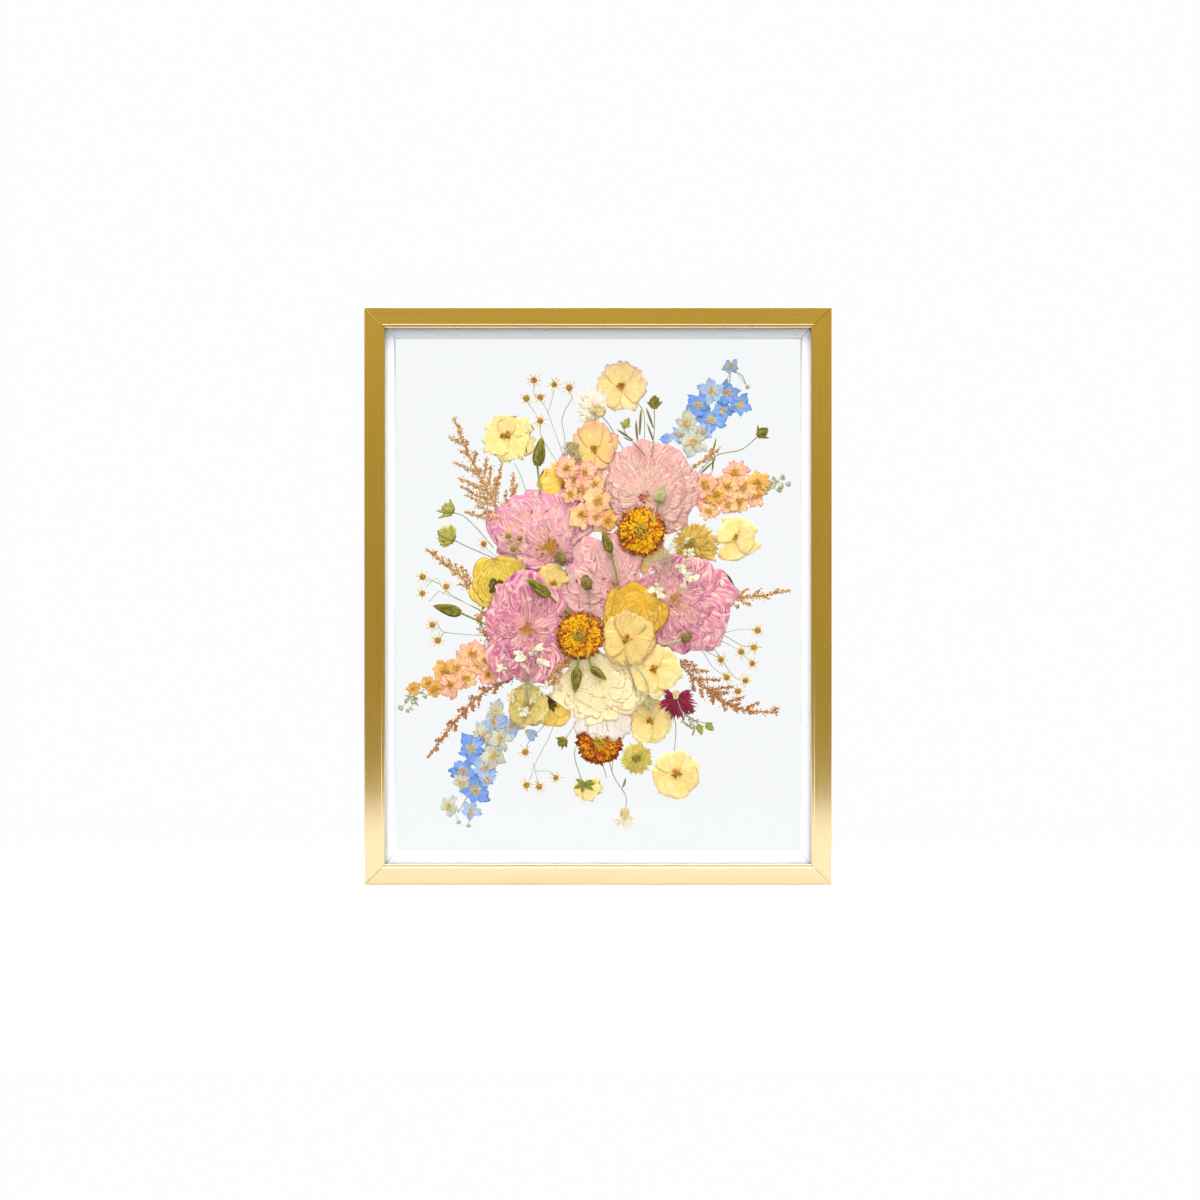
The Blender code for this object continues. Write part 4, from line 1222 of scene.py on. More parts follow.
# %% Scabious and cornflowers
SCABIOUS_GOLD = petal_finish("frill_gold", (170, 124, 36), (207, 168, 72), (226, 196, 112), (186, 142, 50),
    blotch=(236, 210, 140), streaks=6, veins=0.5, heart_end=0.6, spread=0.3, crinkle=0.25)
SCABIOUS_GREEN = petal_finish("frill_green_gold", (180, 156, 44), (213, 190, 86), (230, 212, 122),
    (190, 164, 60), blotch=(236, 224, 150), streaks=6, veins=0.5, heart_end=0.6, spread=0.3, crinkle=0.25)
BURGUNDY = petal_finish("trumpet_burgundy", (98, 24, 36), (144, 34, 62), (158, 42, 76), (102, 22, 40),
    blotch=(182, 72, 96), streaks=8, veins=0.4, blotches=0.3, spread=0.35)
CORNFLOWER_WHITE = petal_finish("trumpet_white", (212, 192, 142), (234, 224, 198), (244, 240, 226),
    (208, 184, 136), blotch=(244, 236, 210), streaks=6, veins=0.3, edges=0.15, blotches=0.2)
CUP = plain_finish("scaly_cup", (168, 144, 86), (228, 212, 160), (184, 152, 92), grains=700)
FRILL = Look(base=0.4, belly=0.7, tip=0.7, rounding=0.0, wave=0.1, teeth=3, tooth=0.14, folds=0.3, waves=4)
TRUMPET = Look(base=0.14, belly=0.85, tip=0.85, rounding=0.0, wave=0.12, teeth=2.6, tooth=0.17, folds=0.25,
    waves=3, bend=0.4)


def scabious(node, name, finish, seed, hub):
    spot, bunch, rng = begin(node, seed)
    for ring in range(6):
        count = 30 - 4 * ring
        turns = ring_of(rng, count, 0.4)
        reach = spot.reach(turns, hub) * (1 - 0.155 * ring) * rng.uniform(0.88, 1.02, count)
        start = reach * 0.5
        x, z = spot.x + hub[0] + start * np.cos(turns), spot.z + hub[1] + start * np.sin(turns)
        height = spot.rear + 0.15 + (spot.front - spot.rear) * ring / 6
        add_petals(bunch, SLIM, FRILL, rng, x, z, turns + rng.normal(0, 0.2, count), reach * 0.5,
            reach * 0.13, height)
    turns = rng.uniform(0, 2 * math.pi, 34)
    add_petals(bunch, SLIM, FRILL, rng, spot.x + hub[0], spot.z + hub[1], turns,
        spot.reach(turns, hub) * rng.uniform(0.3, 0.62, 34), 0.1 * spot.half_x,
        (spot.rear + spot.front) / 2 + rng.uniform(-0.2, 0.4, 34))
    out = 0.28 * spot.half_x * np.sqrt(rng.uniform(0, 1, 90))
    angle = rng.uniform(0, 2 * math.pi, 90)
    add_beads(bunch, rng, spot.x + hub[0] + out * np.cos(angle), spot.z + hub[1] + out * np.sin(angle),
        spot.front + 0.3, rng.uniform(0.3, 0.6, 90), rng.uniform(0, 1, 90), 1)
    bunch.finish(name, [finish, OLIVE], "scabiosa_gold", node)


def add_cup(bunch, rng, x, z, height, size, turn, kind):
    """A scaly cup that opens in the direction of turn."""
    add_dome(bunch, x, z, height, size, 0.35 * size, 0.4, kind)
    for row in range(4):
        count = 7
        way = turn + np.linspace(-1.1, 1.1, count) + 0.15 * (row % 2)
        back = (0.9 - 0.45 * row) * size
        x_foot = x - back * math.cos(turn) + 0.3 * size * np.cos(way)
        z_foot = z - back * math.sin(turn) + 0.3 * size * np.sin(way)
        add_petals(bunch, SCALE, PRICKLE, rng, x_foot, z_foot, way * 0.5 + turn * 0.5, 0.8 * size,
            0.2 * size, height + 0.3 * size, kind)


def cornflower(node, name, finish, seed, hub, cup, cup_size, start, end, counts, slot):
    """Trumpets fan from a hub between two directions, in degrees."""
    spot, bunch, rng = begin(node, seed)
    for ring, (count, share) in enumerate(counts):
        turns = np.radians(np.linspace(start, end, count) + rng.uniform(-6, 6, count))
        lengths = spot.reach(turns, hub) * share * rng.uniform(0.82, 1.08, count)
        height = spot.rear + 0.1 + (spot.front - spot.rear) * ring / len(counts) + rng.uniform(0, 0.2,
            count)
        add_petals(bunch, SLIM, TRUMPET, rng, spot.x + hub[0], spot.z + hub[1], turns, lengths,
            0.9 + lengths * 0.075, height)
    way = math.radians((start + end) / 2)
    add_cup(bunch, rng, cup[0], cup[1], spot.front + 0.4, cup_size, way, 1)
    bunch.finish(name, [finish, CUP], slot, node)


scabious("scabiosa_gold", "scabious_gold_head", SCABIOUS_GOLD, 71, (-5, 2))
scabious("scabiosa_green", "scabious_green_head", SCABIOUS_GREEN, 72, (0, 0))
cornflower("cornflower_burgundy", "cornflower_burgundy_head", BURGUNDY, 73, (-1, 4), (72.5, 176), 3.6, 150,
    395, [(20, 1.0), (18, 0.85), (14, 0.62)], "cornflower_burgundy")
cornflower("cornflower_white_top", "cornflower_white_upper", CORNFLOWER_WHITE, 74, (5, -3), (1.5, 440), 6.2,
    50, 265, [(30, 1.12), (24, 0.9)], "lace_white")
cornflower("cornflower_white_bottom", "cornflower_white_lower", CORNFLOWER_WHITE, 75, (0, 3), (25, 65), 4.4,
    205, 335, [(14, 1.1), (10, 0.85)], "lace_white")

# %% [markdown]
# ## Blooms seen from the side
# Three blooms were pressed on their side, so only a fan of petals shows under a cup of green sepals.

# %% Side views
SEPAL = petal_finish("sepal_green", (116, 122, 50), (142, 142, 66), (160, 154, 84), (104, 96, 36),
    streaks=8, veins=0.6, blotch=(122, 92, 40), blotches=0.5)
DARK_SEPAL = petal_finish("sepal_dark", (74, 66, 22), (96, 86, 30), (130, 116, 46), (60, 44, 16), streaks=8,
    veins=0.6, blotch=(92, 44, 48), blotches=0.5)
LEAFY = Look(base=0.35, belly=0.4, tip=0.12, rounding=0.0, wave=0.08, folds=0.25, waves=2, bend=0.4)


def side_bloom(node, name, finish, sepals, seed, hub, start, end, petals, cup, look=WILD, cup_turns=()):
    """Petals fan between two directions, in degrees. Sepals lie over their base."""
    spot, bunch, rng = begin(node, seed)
    turns = np.radians(np.linspace(start, end, petals) + rng.uniform(-4, 4, petals))
    lengths = spot.reach(turns, hub) * rng.uniform(0.92, 1.04, petals)
    widths = lengths * math.tan(math.radians(abs(end - start)) / (2 * petals)) * 1.9
    heights = spot.rear + 0.15 + 0.3 * (np.arange(petals) % 2)
    x, z = spot.x + hub[0], spot.z + hub[1]
    add_petals(bunch, PETAL, look, rng, x, z, turns, lengths, widths, heights)
    if cup_turns:
        way = np.radians(cup_turns)
        add_petals(bunch, SLIM, LEAFY, rng, x, z, way, cup * rng.uniform(0.8, 1.2, len(way)), 0.22 * cup,
            spot.front + 0.2, 1)
    else:
        add_boss(bunch, rng, x, z, spot.front, cup)
    bunch.finish(name, [finish, sepals if cup_turns else POLLEN, UMBER, OLIVE], "cosmos_lemon", node)


side_bloom("cosmos_side_view", "bloom_kidney_shaped", LEMON, SEPAL, 81, (0.1, 1.3), -75, 140, 4, 3.4,
    RUFFLED)
side_bloom("cosmos_drooping", "bloom_drooping", GOLDEN, DARK_SEPAL, 82, (-3.8, 10), 205, 335, 4, 9, RUFFLED,
    (20, 70, 120, 165, 200, 250, 290, 335))
side_bloom("half_closed_bloom", "bloom_half_closed", LEMON, SEPAL, 83, (-4, 6.5), 195, 345, 5, 9, WILD,
    (150, 205, 255, 320, 355, 20))

# %% [markdown]
# ## Delphinium and stock
# Both are spikes of small florets. Each floret is a ring of four or five petals with a tuft of stamens,
# and a list says where each one sits, how large it is, which colour it takes and which way its first
# petal points. The delphinium runs from royal blue to a washed cream, and the stock from pink to amber.

# %% Delphinium and stock
ROYAL = petal_finish("petal_royal_blue", (212, 206, 168), (124, 164, 216), (86, 140, 216), (70, 116, 208),
    edge=(58, 118, 160), heart_end=0.5, streaks=12, blotch=(150, 154, 230), blotches=0.5, edges=0.6,
    spread=0.28)
SKY = petal_finish("petal_sky_blue", (218, 208, 166), (168, 192, 214), (134, 174, 218), (112, 144, 204),
    edge=(84, 138, 176), heart_end=0.5, streaks=12, blotch=(190, 190, 228), blotches=0.7, edges=0.6,
    spread=0.2)
WASHED = petal_finish("petal_washed_cream", (222, 200, 134), (212, 208, 182), (172, 192, 206),
    (152, 152, 142), edge=(104, 128, 140), rim_start=0.6, streaks=12, blotch=(206, 192, 150), blotches=0.6,
    edges=0.6, spread=0.2)
STOCK_PEACH = petal_finish("petal_stock_peach", (206, 158, 40), (247, 204, 142), (244, 184, 150),
    (228, 156, 100), edge=(232, 142, 116), heart_end=0.4, streaks=14, blotch=(250, 216, 178), edges=0.6,
    spread=0.2, crinkle=0.3)
STOCK_PINK = petal_finish("petal_stock_pink", (206, 162, 46), (246, 196, 142), (240, 152, 158),
    (232, 134, 130), edge=(228, 104, 136), heart_end=0.4, streaks=14, blotch=(248, 214, 186), edges=0.85,
    spread=0.22, crinkle=0.3)
STOCK_AMBER = petal_finish("petal_stock_amber", (170, 128, 30), (236, 184, 92), (244, 188, 128),
    (214, 142, 60), edge=(228, 140, 92), heart_end=0.5, streaks=14, blotch=(246, 204, 140), edges=0.6,
    spread=0.2, crinkle=0.3)
BLUE_FLORET = Look(base=0.3, belly=0.62, tip=0.36, rounding=0.05, wave=0.13, folds=0.35, waves=5, bend=0.25)
CRUMPLED = Look(base=0.36, belly=0.74, tip=0.78, rounding=0.10, wave=0.14, notch=0.03, folds=0.5, waves=7,
    bend=0.15)


def spike(node, name, finishes, slot, seed, look, petals, wide, florets, stem, buds=(), loose=(),
        hearts=POLLEN):
    """Florets are (x, z, radius, finish, first petal's direction in degrees)."""
    spot, bunch, rng = begin(node, seed)
    green = len(finishes) + 3
    add_rod(bunch, [(x, z, spot.rear + 0.2) for x, z in stem], 0.7, 0.4, kind=green)
    for x, z, size, kind, facing in florets:
        ring = np.arange(petals)
        turns = math.radians(facing) + 2 * math.pi * (ring + rng.uniform(-0.18, 0.18, petals)) / petals
        lengths = size * rng.uniform(0.86, 1.18, petals)
        height = spot.rear + rng.uniform(0.3, 1.4)
        add_petals(bunch, PETAL, look, rng, x, z, turns, lengths, wide * lengths, height + 0.12 * ring,
            kind + 3 if kind else 0)
        add_stamens(bunch, rng, x, z, height + 0.8, 0.4 * size, 16, 1, 0.26)
    for x, z, length, width, kind, facing in loose:
        add_petals(bunch, PETAL, look, rng, x, z, [math.radians(facing)], length, width, spot.rear + 0.6,
            kind + 3 if kind else 0)
    for x, z, size, foot_x, foot_z in buds:
        way = math.atan2(z - foot_z, x - foot_x) + np.array((-0.5, -0.1, 0.3, 0.6))
        add_rod(bunch, [(foot_x, foot_z, spot.rear + 0.4), (x, z, spot.rear + 0.7)], 0.35, kind=green)
        add_petals(bunch, SCALE, Look(base=0.5, tip=0.3), rng, x, z, way, size, 0.32 * size,
            spot.rear + 0.7, green)
    bunch.finish(name, [finishes[0], hearts, UMBER, OLIVE, *finishes[1:], GREY_STALK], slot, node)


BLUES = [ROYAL, SKY, WASHED]
CREAM_POLLEN = plain_finish("pollen_cream", (196, 142, 60), (238, 210, 140), (214, 164, 80))
spike("delphinium_upper", "delphinium_spike_upper", BLUES, "delphinium_blue", 91, BLUE_FLORET, 5, 0.40,
    [(124, 482, 7, 1, 40), (122, 457, 12, 0, 15), (133, 446, 10, 0, -25), (107, 458, 12, 1, 100),
    (94, 446, 12, 0, 130), (106, 432, 13, 0, 50), (117, 440, 9, 0, -10), (83, 428, 12, 2, 165),
    (76, 419, 9, 1, 200), (90, 412, 13, 2, 250), (98, 421, 9, 1, 20)], [(124, 478), (122, 462), (110, 444),
    (98, 428), (82, 400)], [(139, 464, 4, 131, 474), (121, 470, 3, 124, 478)], [(71, 415, 13, 4.5, 0, 180)],
    CREAM_POLLEN)
spike("delphinium_lower", "delphinium_spike_lower", BLUES, "delphinium_blue", 92, BLUE_FLORET, 5, 0.40,
    [(-96, 158, 11, 2, 60), (-97, 148, 11, 1, 110), (-80, 146, 11, 1, 10), (-107, 136, 12, 2, 170),
    (-92, 134, 11, 2, -70), (-118, 125, 13, 0, 120), (-98, 118, 13, 2, -20), (-126, 104, 12, 0, 190),
    (-107, 106, 12, 1, 0), (-127, 93, 9, 2, 200), (-114, 85, 13, 0, -30), (-104, 96, 8, 1, -40),
    (-140, 71, 9, 2, 130), (-119, 66, 9, 1, 270)], [(-131, 64), (-120, 84), (-109, 112), (-99, 140),
    (-90, 168)], [(-121, 54, 4, -120, 62), (-131, 57, 4, -134, 66)], [(-68, 141, 12, 5, 1, 330)],
    CREAM_POLLEN)
STOCKS = [STOCK_PEACH, STOCK_PINK, STOCK_AMBER]
spike("stock_middle", "stock_spike_middle", STOCKS, "stock_peach", 93, CRUMPLED, 6, 0.52,
    [(-29, 386, 10, 1, 100), (-22, 376, 10, 1, 30), (-12, 383, 10, 1, 60), (-14, 366, 12, 1, 200),
    (-3, 372, 9, 0, 10), (0, 356, 13, 0, 45), (-15, 343, 12, 0, 80), (-2, 340, 9, 1, 0),
    (9, 338, 9, 2, -20), (-26, 362, 8, 0, 170)], [(-36, 392), (-20, 378), (-8, 358), (8, 336)],
    [(-21, 406, 5, -26, 396), (-30, 404, 5, -29, 394)])
spike("stock_right", "stock_spike_right", STOCKS, "stock_peach", 94, CRUMPLED, 6, 0.52,
    [(100, 371, 11, 1, 80), (111, 362, 10, 2, 10), (128, 382, 12, 1, 85), (121, 370, 10, 0, 160),
    (136, 368, 12, 0, 30), (150, 372, 11, 2, 20), (101, 357, 10, 1, 250), (104, 347, 9, 0, 290),
    (122, 352, 9, 1, 300), (132, 356, 10, 0, 270), (147, 360, 9, 1, -20)], [(84, 364), (110, 368),
    (140, 370), (168, 372)], [(171, 377, 5, 160, 372), (168, 367, 5, 158, 369), (163, 376, 4, 154, 371),
    (176, 372, 5, 165, 372)])
spike("stock_left", "stock_spike_left", STOCKS, "stock_peach", 95, CRUMPLED, 6, 0.52,
    [(-118, 213, 13, 1, 90), (-111, 203, 10, 0, 0), (-131, 200, 10, 0, 150), (-143, 196, 11, 2, 100),
    (-138, 184, 11, 1, 200), (-124, 190, 10, 0, 270), (-103, 193, 10, 1, 300), (-105, 207, 9, 0, 30),
    (-153, 180, 8, 2, 180), (-159, 186, 7, 2, 120), (-173, 181, 6, 2, 170)],
    [(-181, 167), (-165, 178), (-140, 190), (-96, 204)], [(-183, 164, 5, -174, 172),
    (-178, 170, 4, -170, 176), (-177, 161, 4, -170, 170)])

# %% [markdown]
# ## Astilbe
# Astilbe is a feathery plume: a spine with arching branches, each branch with short twigs, and every
# twig crowded with seeds smaller than a millimetre. The branches are named by their tips, and each one
# leaves the spine a little lower down, so that all of them lean towards the plume's end. A seed is a
# bead of twenty faces, copied a few thousand times.

# %% Astilbe
SEED_TAN = plain_finish("seeds_tan", (146, 96, 38), (224, 178, 116), (190, 132, 72), 0.8)
SEED_TERRACOTTA = plain_finish("seeds_terracotta", (134, 78, 32), (208, 150, 90), (174, 106, 54), 0.8)


def add_seeds(bunch, rng, path, width, height, per_mm=4.8):
    """Seeds in small clumps on both sides of a twig that ends narrow."""
    fine = smooth_path(path, 60)
    steps = np.hypot(*np.diff(fine[:, :2], axis=0).T)
    count = int(steps.sum() * per_mm)
    place = rng.uniform(0, 1, count) ** 0.9
    index = place * 59
    x, z = (np.interp(index, np.arange(60), fine[:, axis]) for axis in range(2))
    clump = 0.55 + 0.45 * np.sin(place * steps.sum() * 1.7 + rng.uniform(0, 6))
    off = rng.normal(0, 1, (2, count)) * width * (1 - 0.6 * place) * clump * 1.3
    add_beads(bunch, rng, x + off[0], z + off[1], height + rng.uniform(0, 0.9, count),
        rng.uniform(0.45, 0.9, count), rng.uniform(0, 1, count), 0)


def plume(node, name, finish, seed, spine, tips, width=2.0, rise=0.0, replaced=True):
    """A spine from base to tip, and the tips of its branches."""
    spot, bunch, rng = begin(node, seed)
    height = spot.rear + 0.3 + rise
    add_rod(bunch, [(x, z, height) for x, z in spine], 0.55, 0.3, tone=0.4, kind=1)
    add_seeds(bunch, rng, [(x, z, 0) for x, z in spine], width * 1.2, height, 6)
    fine = smooth_path(np.array(spine, float), 120)
    for x, z in tips:
        away = np.hypot(fine[:, 0] - x, fine[:, 1] - z)
        nearest = int(away.argmin())
        from_nearest = np.hypot(*(fine[: nearest + 1] - fine[nearest]).T)
        leave = int(np.abs(from_nearest - 1.25 * away[nearest]).argmin())
        foot = fine[leave]
        ahead = fine[min(leave + 6, 119)] - foot
        ahead /= max(np.hypot(*ahead), 1e-6)
        length = math.hypot(x - foot[0], z - foot[1])
        middle = (foot + (x, z)) / 2 + ahead * length * rng.uniform(-0.10, 0.02)
        branch = [(*foot, height), (*middle, height + 0.3), (x, z, height + 0.2)]
        add_rod(bunch, branch, 0.35, 0.16, tone=rng.uniform(), kind=1, form=TWIG)
        add_seeds(bunch, rng, [(a, b, 0) for a, b, _ in branch], width, height + 0.2)
        for share in np.arange(0.2, 0.9, 4.5 / max(length, 8)):
            side = rng.choice((-1, 1))
            start = foot + (np.array((x, z)) - foot) * share
            way = math.atan2(z - foot[1], x - foot[0]) + side * rng.uniform(0.5, 0.9)
            reach = (1 - 0.6 * share) * rng.uniform(2.5, 5)
            end = start + reach * np.array((math.cos(way), math.sin(way)))
            add_seeds(bunch, rng, [(*start, 0), (*end, 0)], width * 0.6, height + 0.4, 5)
    bunch.finish(name, [finish, BROWN_STALK], "astilbe_tan", *([node] if replaced else []))


plume("astilbe_upper_left", "astilbe_plume_upper_left", SEED_TAN, 101, [(-86, 338), (-104, 366),
    (-121, 400), (-135, 434)], [(-128, 424), (-139, 416), (-122, 412), (-131, 404), (-114.5, 403),
    (-104, 396), (-134, 392), (-90.5, 391), (-110, 386), (-131, 378), (-96, 378), (-79, 382), (-129, 370),
    (-86, 366), (-124, 362), (-118, 372), (-125, 346), (-114, 352), (-76, 372), (-108, 346), (-100, 390)])
plume("astilbe_left", "astilbe_plume_left", SEED_TAN, 102, [(-112, 262), (-127, 284), (-142, 296),
    (-161, 311)], [(-152, 308), (-146, 304), (-148, 298), (-140, 302), (-136, 288), (-134, 298),
    (-128, 296), (-124, 292), (-130, 278), (-120, 284), (-118, 274)], 1.7)
plume("astilbe_lower_left", "astilbe_plume_lower_left", SEED_TERRACOTTA, 103,
    [(-80, 190), (-108, 176), (-135, 148), (-160, 115)], [(-152, 132), (-152, 122), (-142, 147),
    (-143, 136), (-131, 160), (-134, 140), (-121, 171), (-124, 152), (-112, 180), (-112, 164), (-100, 186),
    (-98, 176), (-90, 190), (-118, 160)], 1.8)
plume("astilbe_right", "astilbe_plume_right", SEED_TAN, 104, [(108, 262), (130, 265), (150, 267),
    (180, 272)], [(168, 274), (160, 264), (152, 273), (143, 258), (140, 274), (132, 256), (128, 274),
    (122, 257), (118, 272), (114, 254), (108, 270)], 1.7)
plume("astilbe_lower_right", "astilbe_plume_lower_right", SEED_TERRACOTTA, 105,
    [(76, 204), (99, 182), (118, 168), (138, 160), (168, 158)], [(168, 162), (157, 158), (150, 168),
    (144, 157), (136, 172), (130, 158), (126, 182), (120, 160), (114, 188), (108, 166), (104, 196),
    (98, 172), (92, 202), (90, 178), (84, 206), (132, 166), (110, 178), (122, 176), (97, 190)], 2.1)

# %% [markdown]
# ## Lace flowers
# Two umbels of lace flower lie on top. Thin stalks spread from one point, and each ends in a tuft of
# tiny white florets with a few larger petals on the outer side.

# %% Lace flowers
LACE_WHITE = petal_finish("floret_lace_white", (206, 196, 128), (240, 236, 208), (250, 248, 232),
    (214, 208, 160), edge=(206, 198, 150), blotch=(226, 220, 176), streaks=5, edges=0.3, spread=0.2)
LACE_STALK = plain_finish("stalk_lace", (126, 128, 86), (184, 180, 138), (156, 142, 96))
TINY = Look(base=0.35, belly=0.7, tip=0.6, rounding=0.1, wave=0.12, notch=0.08, folds=0.15, waves=4)


def add_tuft(bunch, rng, x, z, height, size, florets=6, outward=None):
    """A tuft of tiny florets on short stalks. Larger petals point outward when asked."""
    angle = rng.uniform(0, 2 * math.pi, florets)
    out = size * 0.75 * np.sqrt(rng.uniform(0.05, 1, florets))
    for a, b in zip(x + out * np.cos(angle), z + out * np.sin(angle)):
        add_rod(bunch, [(x, z, height), (a, b, height + 0.3)], 0.14, kind=1, form=TWIG)
        turns = rng.uniform(0, 6.28) + 2 * math.pi * np.arange(5) / 5 + rng.uniform(-0.2, 0.2, 5)
        add_petals(bunch, SCALE, TINY, rng, a, b, turns, size * rng.uniform(0.26, 0.46, 5), size * 0.15,
            height + 0.4)
        add_beads(bunch, rng, a, b, height + 0.6, size * 0.09, rng.uniform(), 1)
    if outward is not None:
        turns = outward + rng.normal(0, 0.5, 4)
        add_petals(bunch, SLIM, TINY, rng, x, z, turns, size * rng.uniform(0.9, 1.5, 4), size * 0.34,
            height + 0.5)


def umbel(node, name, seed, hub, ends, stem, big=()):
    """Ends are (x, z, size of the tuft). Big petals are (x, z, length, width, direction)."""
    spot, bunch, rng = begin(node, seed)
    height = spot.rear + 0.5
    add_rod(bunch, [(x, z, height) for x, z in stem], 0.8, 0.6, kind=1)
    for x, z, size in ends:
        bow = rng.uniform(-1.5, 1.5, 2)
        middle = ((hub[0] + x) / 2 + bow[0], (hub[1] + z) / 2 + bow[1])
        add_rod(bunch, [(*hub, height), (*middle, height + 0.4), (x, z, height + 0.3)], 0.55, 0.36,
            tone=rng.uniform(), kind=1)
        outward = math.atan2(z - hub[1], x - hub[0])
        add_tuft(bunch, rng, x, z, height + 0.3, size, outward=outward if size > 4 else None)
    turns = rng.uniform(0, 2 * math.pi, 9)
    add_petals(bunch, SCALE, LEAFY, rng, hub[0], hub[1], turns, rng.uniform(4, 8, 9), 0.5, height + 0.2, 1)
    for x, z, length, width, facing in big:
        add_petals(bunch, PETAL, TINY, rng, x, z, [math.radians(facing)], length, width, height + 1.0)
    bunch.finish(name, [LACE_WHITE, LACE_STALK], "lace_white", node)


umbel("lace_upper", "lace_umbel_upper", 111, (61, 301), [(62.5, 322, 3.5), (75, 329, 3), (83, 319, 3.5),
    (71, 314, 3), (84, 307, 5), (77, 293, 5), (84, 285, 5.5), (90, 283, 4), (80, 278, 4), (54, 275, 4.5),
    (59, 270, 5), (50, 290, 3.5)], [(61, 301), (48, 300), (34, 304)], [(54, 274, 8, 3, 200),
    (88, 283, 7, 2.6, 20)])
umbel("lace_lower", "lace_umbel_lower", 112, (-65, 184), [(-89, 199, 4.5), (-73, 211, 5), (-69, 203, 3.5),
    (-55, 204, 5), (-60, 214, 4), (-49, 184, 4), (-81, 172, 4), (-70, 160, 4.5), (-61, 169, 3.5),
    (-64, 161, 4), (-52, 176, 3.5)], [(-65, 184), (-66, 174), (-68, 150)], [(-60, 217, 10, 3.2, 20),
    (-66, 210, 11, 3.4, 190), (-52, 206, 8, 3, 340), (-72, 212, 7, 3, 230)])

# %% [markdown]
# ## Lying on the pile
# Some sprays lie over the large blooms. A stem that does is draped: at every step it takes the height
# of the topmost bloom under it, and those heights are then smoothed, so that it bends over each edge
# instead of stepping up. A stem that starts under the bouquet stays close to the glass.

# %% Draping
PILE = [Spot(node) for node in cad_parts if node.startswith(("peony", "rose", "ranunculus",
    "strawflower", "cosmos", "scabiosa", "cornflower", "half"))]


def top_of_pile(x, z):
    return max([spot.front for spot in PILE if spot.covers(x, z)], default=0.0)


def draped(points, clear=0.5):
    flat = smooth_path(points, 24)
    heights = np.array([top_of_pile(x, z) for x, z in flat])
    heights = np.convolve(np.pad(heights, 2, mode="edge"), np.full(5, 0.2), "valid")
    return np.column_stack((flat, heights + clear))


def laid(points, height=0.3):
    return [(x, z, height) for x, z in points]


print("highest bloom:", round(max(spot.front for spot in PILE), 1), "mm above the rear pane")

# %% [markdown]
# ## Feverfew
# Twenty-seven small daisies stand on wiry stems round the bouquet. A head is a low dome under a crust of
# grains, with a ring of thin cream rays that shrivelled in the press.

# %% Feverfew
RAY = petal_finish("ray_cream", (220, 184, 122), (234, 206, 152), (244, 226, 188), (220, 176, 112),
    edge=(220, 172, 108), streaks=4, spread=0.2)
DISC = plain_finish("disc_brown_gold", (118, 84, 30), (206, 156, 62), (172, 116, 42), grains=1400)
DISC_OLIVE = plain_finish("disc_olive", (104, 92, 34), (170, 150, 76), (136, 110, 44), grains=1400)
WIRY = plain_finish("stalk_wiry", (108, 112, 66), (166, 168, 118), (142, 128, 76))
SHRIVELLED = Look(base=0.5, belly=0.6, tip=0.3, rounding=0.0, wave=0.25, folds=0.2, waves=3, bend=0.9)


def add_daisy(bunch, rng, x, z, height, disc=2.9, rays=11, kind=1):
    add_dome(bunch, x, z, height, disc, 0.35 * disc, 0.5, kind)
    out = disc * np.sqrt(rng.uniform(0, 1, 44))
    angle = rng.uniform(0, 2 * math.pi, 44)
    add_beads(bunch, rng, x + out * np.cos(angle), z + out * np.sin(angle),
        height + 0.35 * np.sqrt(np.maximum(disc**2 - out**2, 0)), rng.uniform(0.24, 0.46, 44),
        np.clip(out / disc * 1.3 - 0.25 + rng.normal(0, 0.15, 44), 0, 1), kind)
    turns = ring_of(rng, rays, 0.3)
    start = 0.85 * disc
    add_petals(bunch, SCALE, SHRIVELLED, rng, x + start * np.cos(turns), z + start * np.sin(turns), turns,
        disc * rng.uniform(1.0, 1.8, rays), rng.uniform(0.36, 0.6, rays), height, 0)


def feverfew(name, seed, heads, stems, disc=2.9, kind=1, over=False):
    rng = np.random.default_rng(seed)
    bunch = Bunch()
    for x, z in heads:
        height = (top_of_pile(x, z) if over else 0) + 1.1
        add_daisy(bunch, rng, x, z, height, disc * rng.uniform(0.9, 1.12), rng.integers(8, 13), kind)
    for points in stems:
        add_rod(bunch, draped(points, 0.5) if over else laid(points), 0.38, 0.30, tone=rng.uniform(),
            kind=3)
    bunch.finish(name, [RAY, DISC, DISC_OLIVE, WIRY], "stem_green")


feverfew("feverfew_upper", 121, [(-60, 469), (-41, 465), (-27, 462), (-67, 452), (-54, 453), (-54, 431)],
    [[(-60, 466), (-60, 456), (-54, 450), (-47, 439), (-33, 400)], [(-41, 461.5), (-44, 448), (-47, 439)],
    [(-27, 459), (-24, 452), (-29.5, 444), (-34, 431), (-31, 415), (-32, 396)],
    [(-67, 450), (-60, 440), (-54, 432)], [(-54, 428), (-53.5, 418), (-49, 409), (-34, 386)]])
feverfew("feverfew_left", 122, [(-164, 285), (-164.5, 269.5), (-142, 276), (-155, 240), (-150, 225.5),
    (-107, 316)], [[(-160, 283), (-148, 278), (-139, 269), (-108, 252)], [(-161, 275.5), (-152, 284),
    (-148, 279)], [(-158, 262), (-150.5, 270), (-145, 270), (-110, 254)], [(-152, 244), (-147, 235),
    (-142, 233), (-131, 231.5), (-90, 229)], [(-107, 314), (-96, 304)], [(-148, 226), (-146, 231),
    (-143, 233)]])
feverfew("feverfew_on_peony", 123, [(-84, 323), (-73, 321), (-79, 311)], [[(-82, 321), (-79, 314),
    (-76, 303), (-70, 294), (-58, 282)], [(-73, 319), (-77, 311)]], 2.6, 2, over=True)
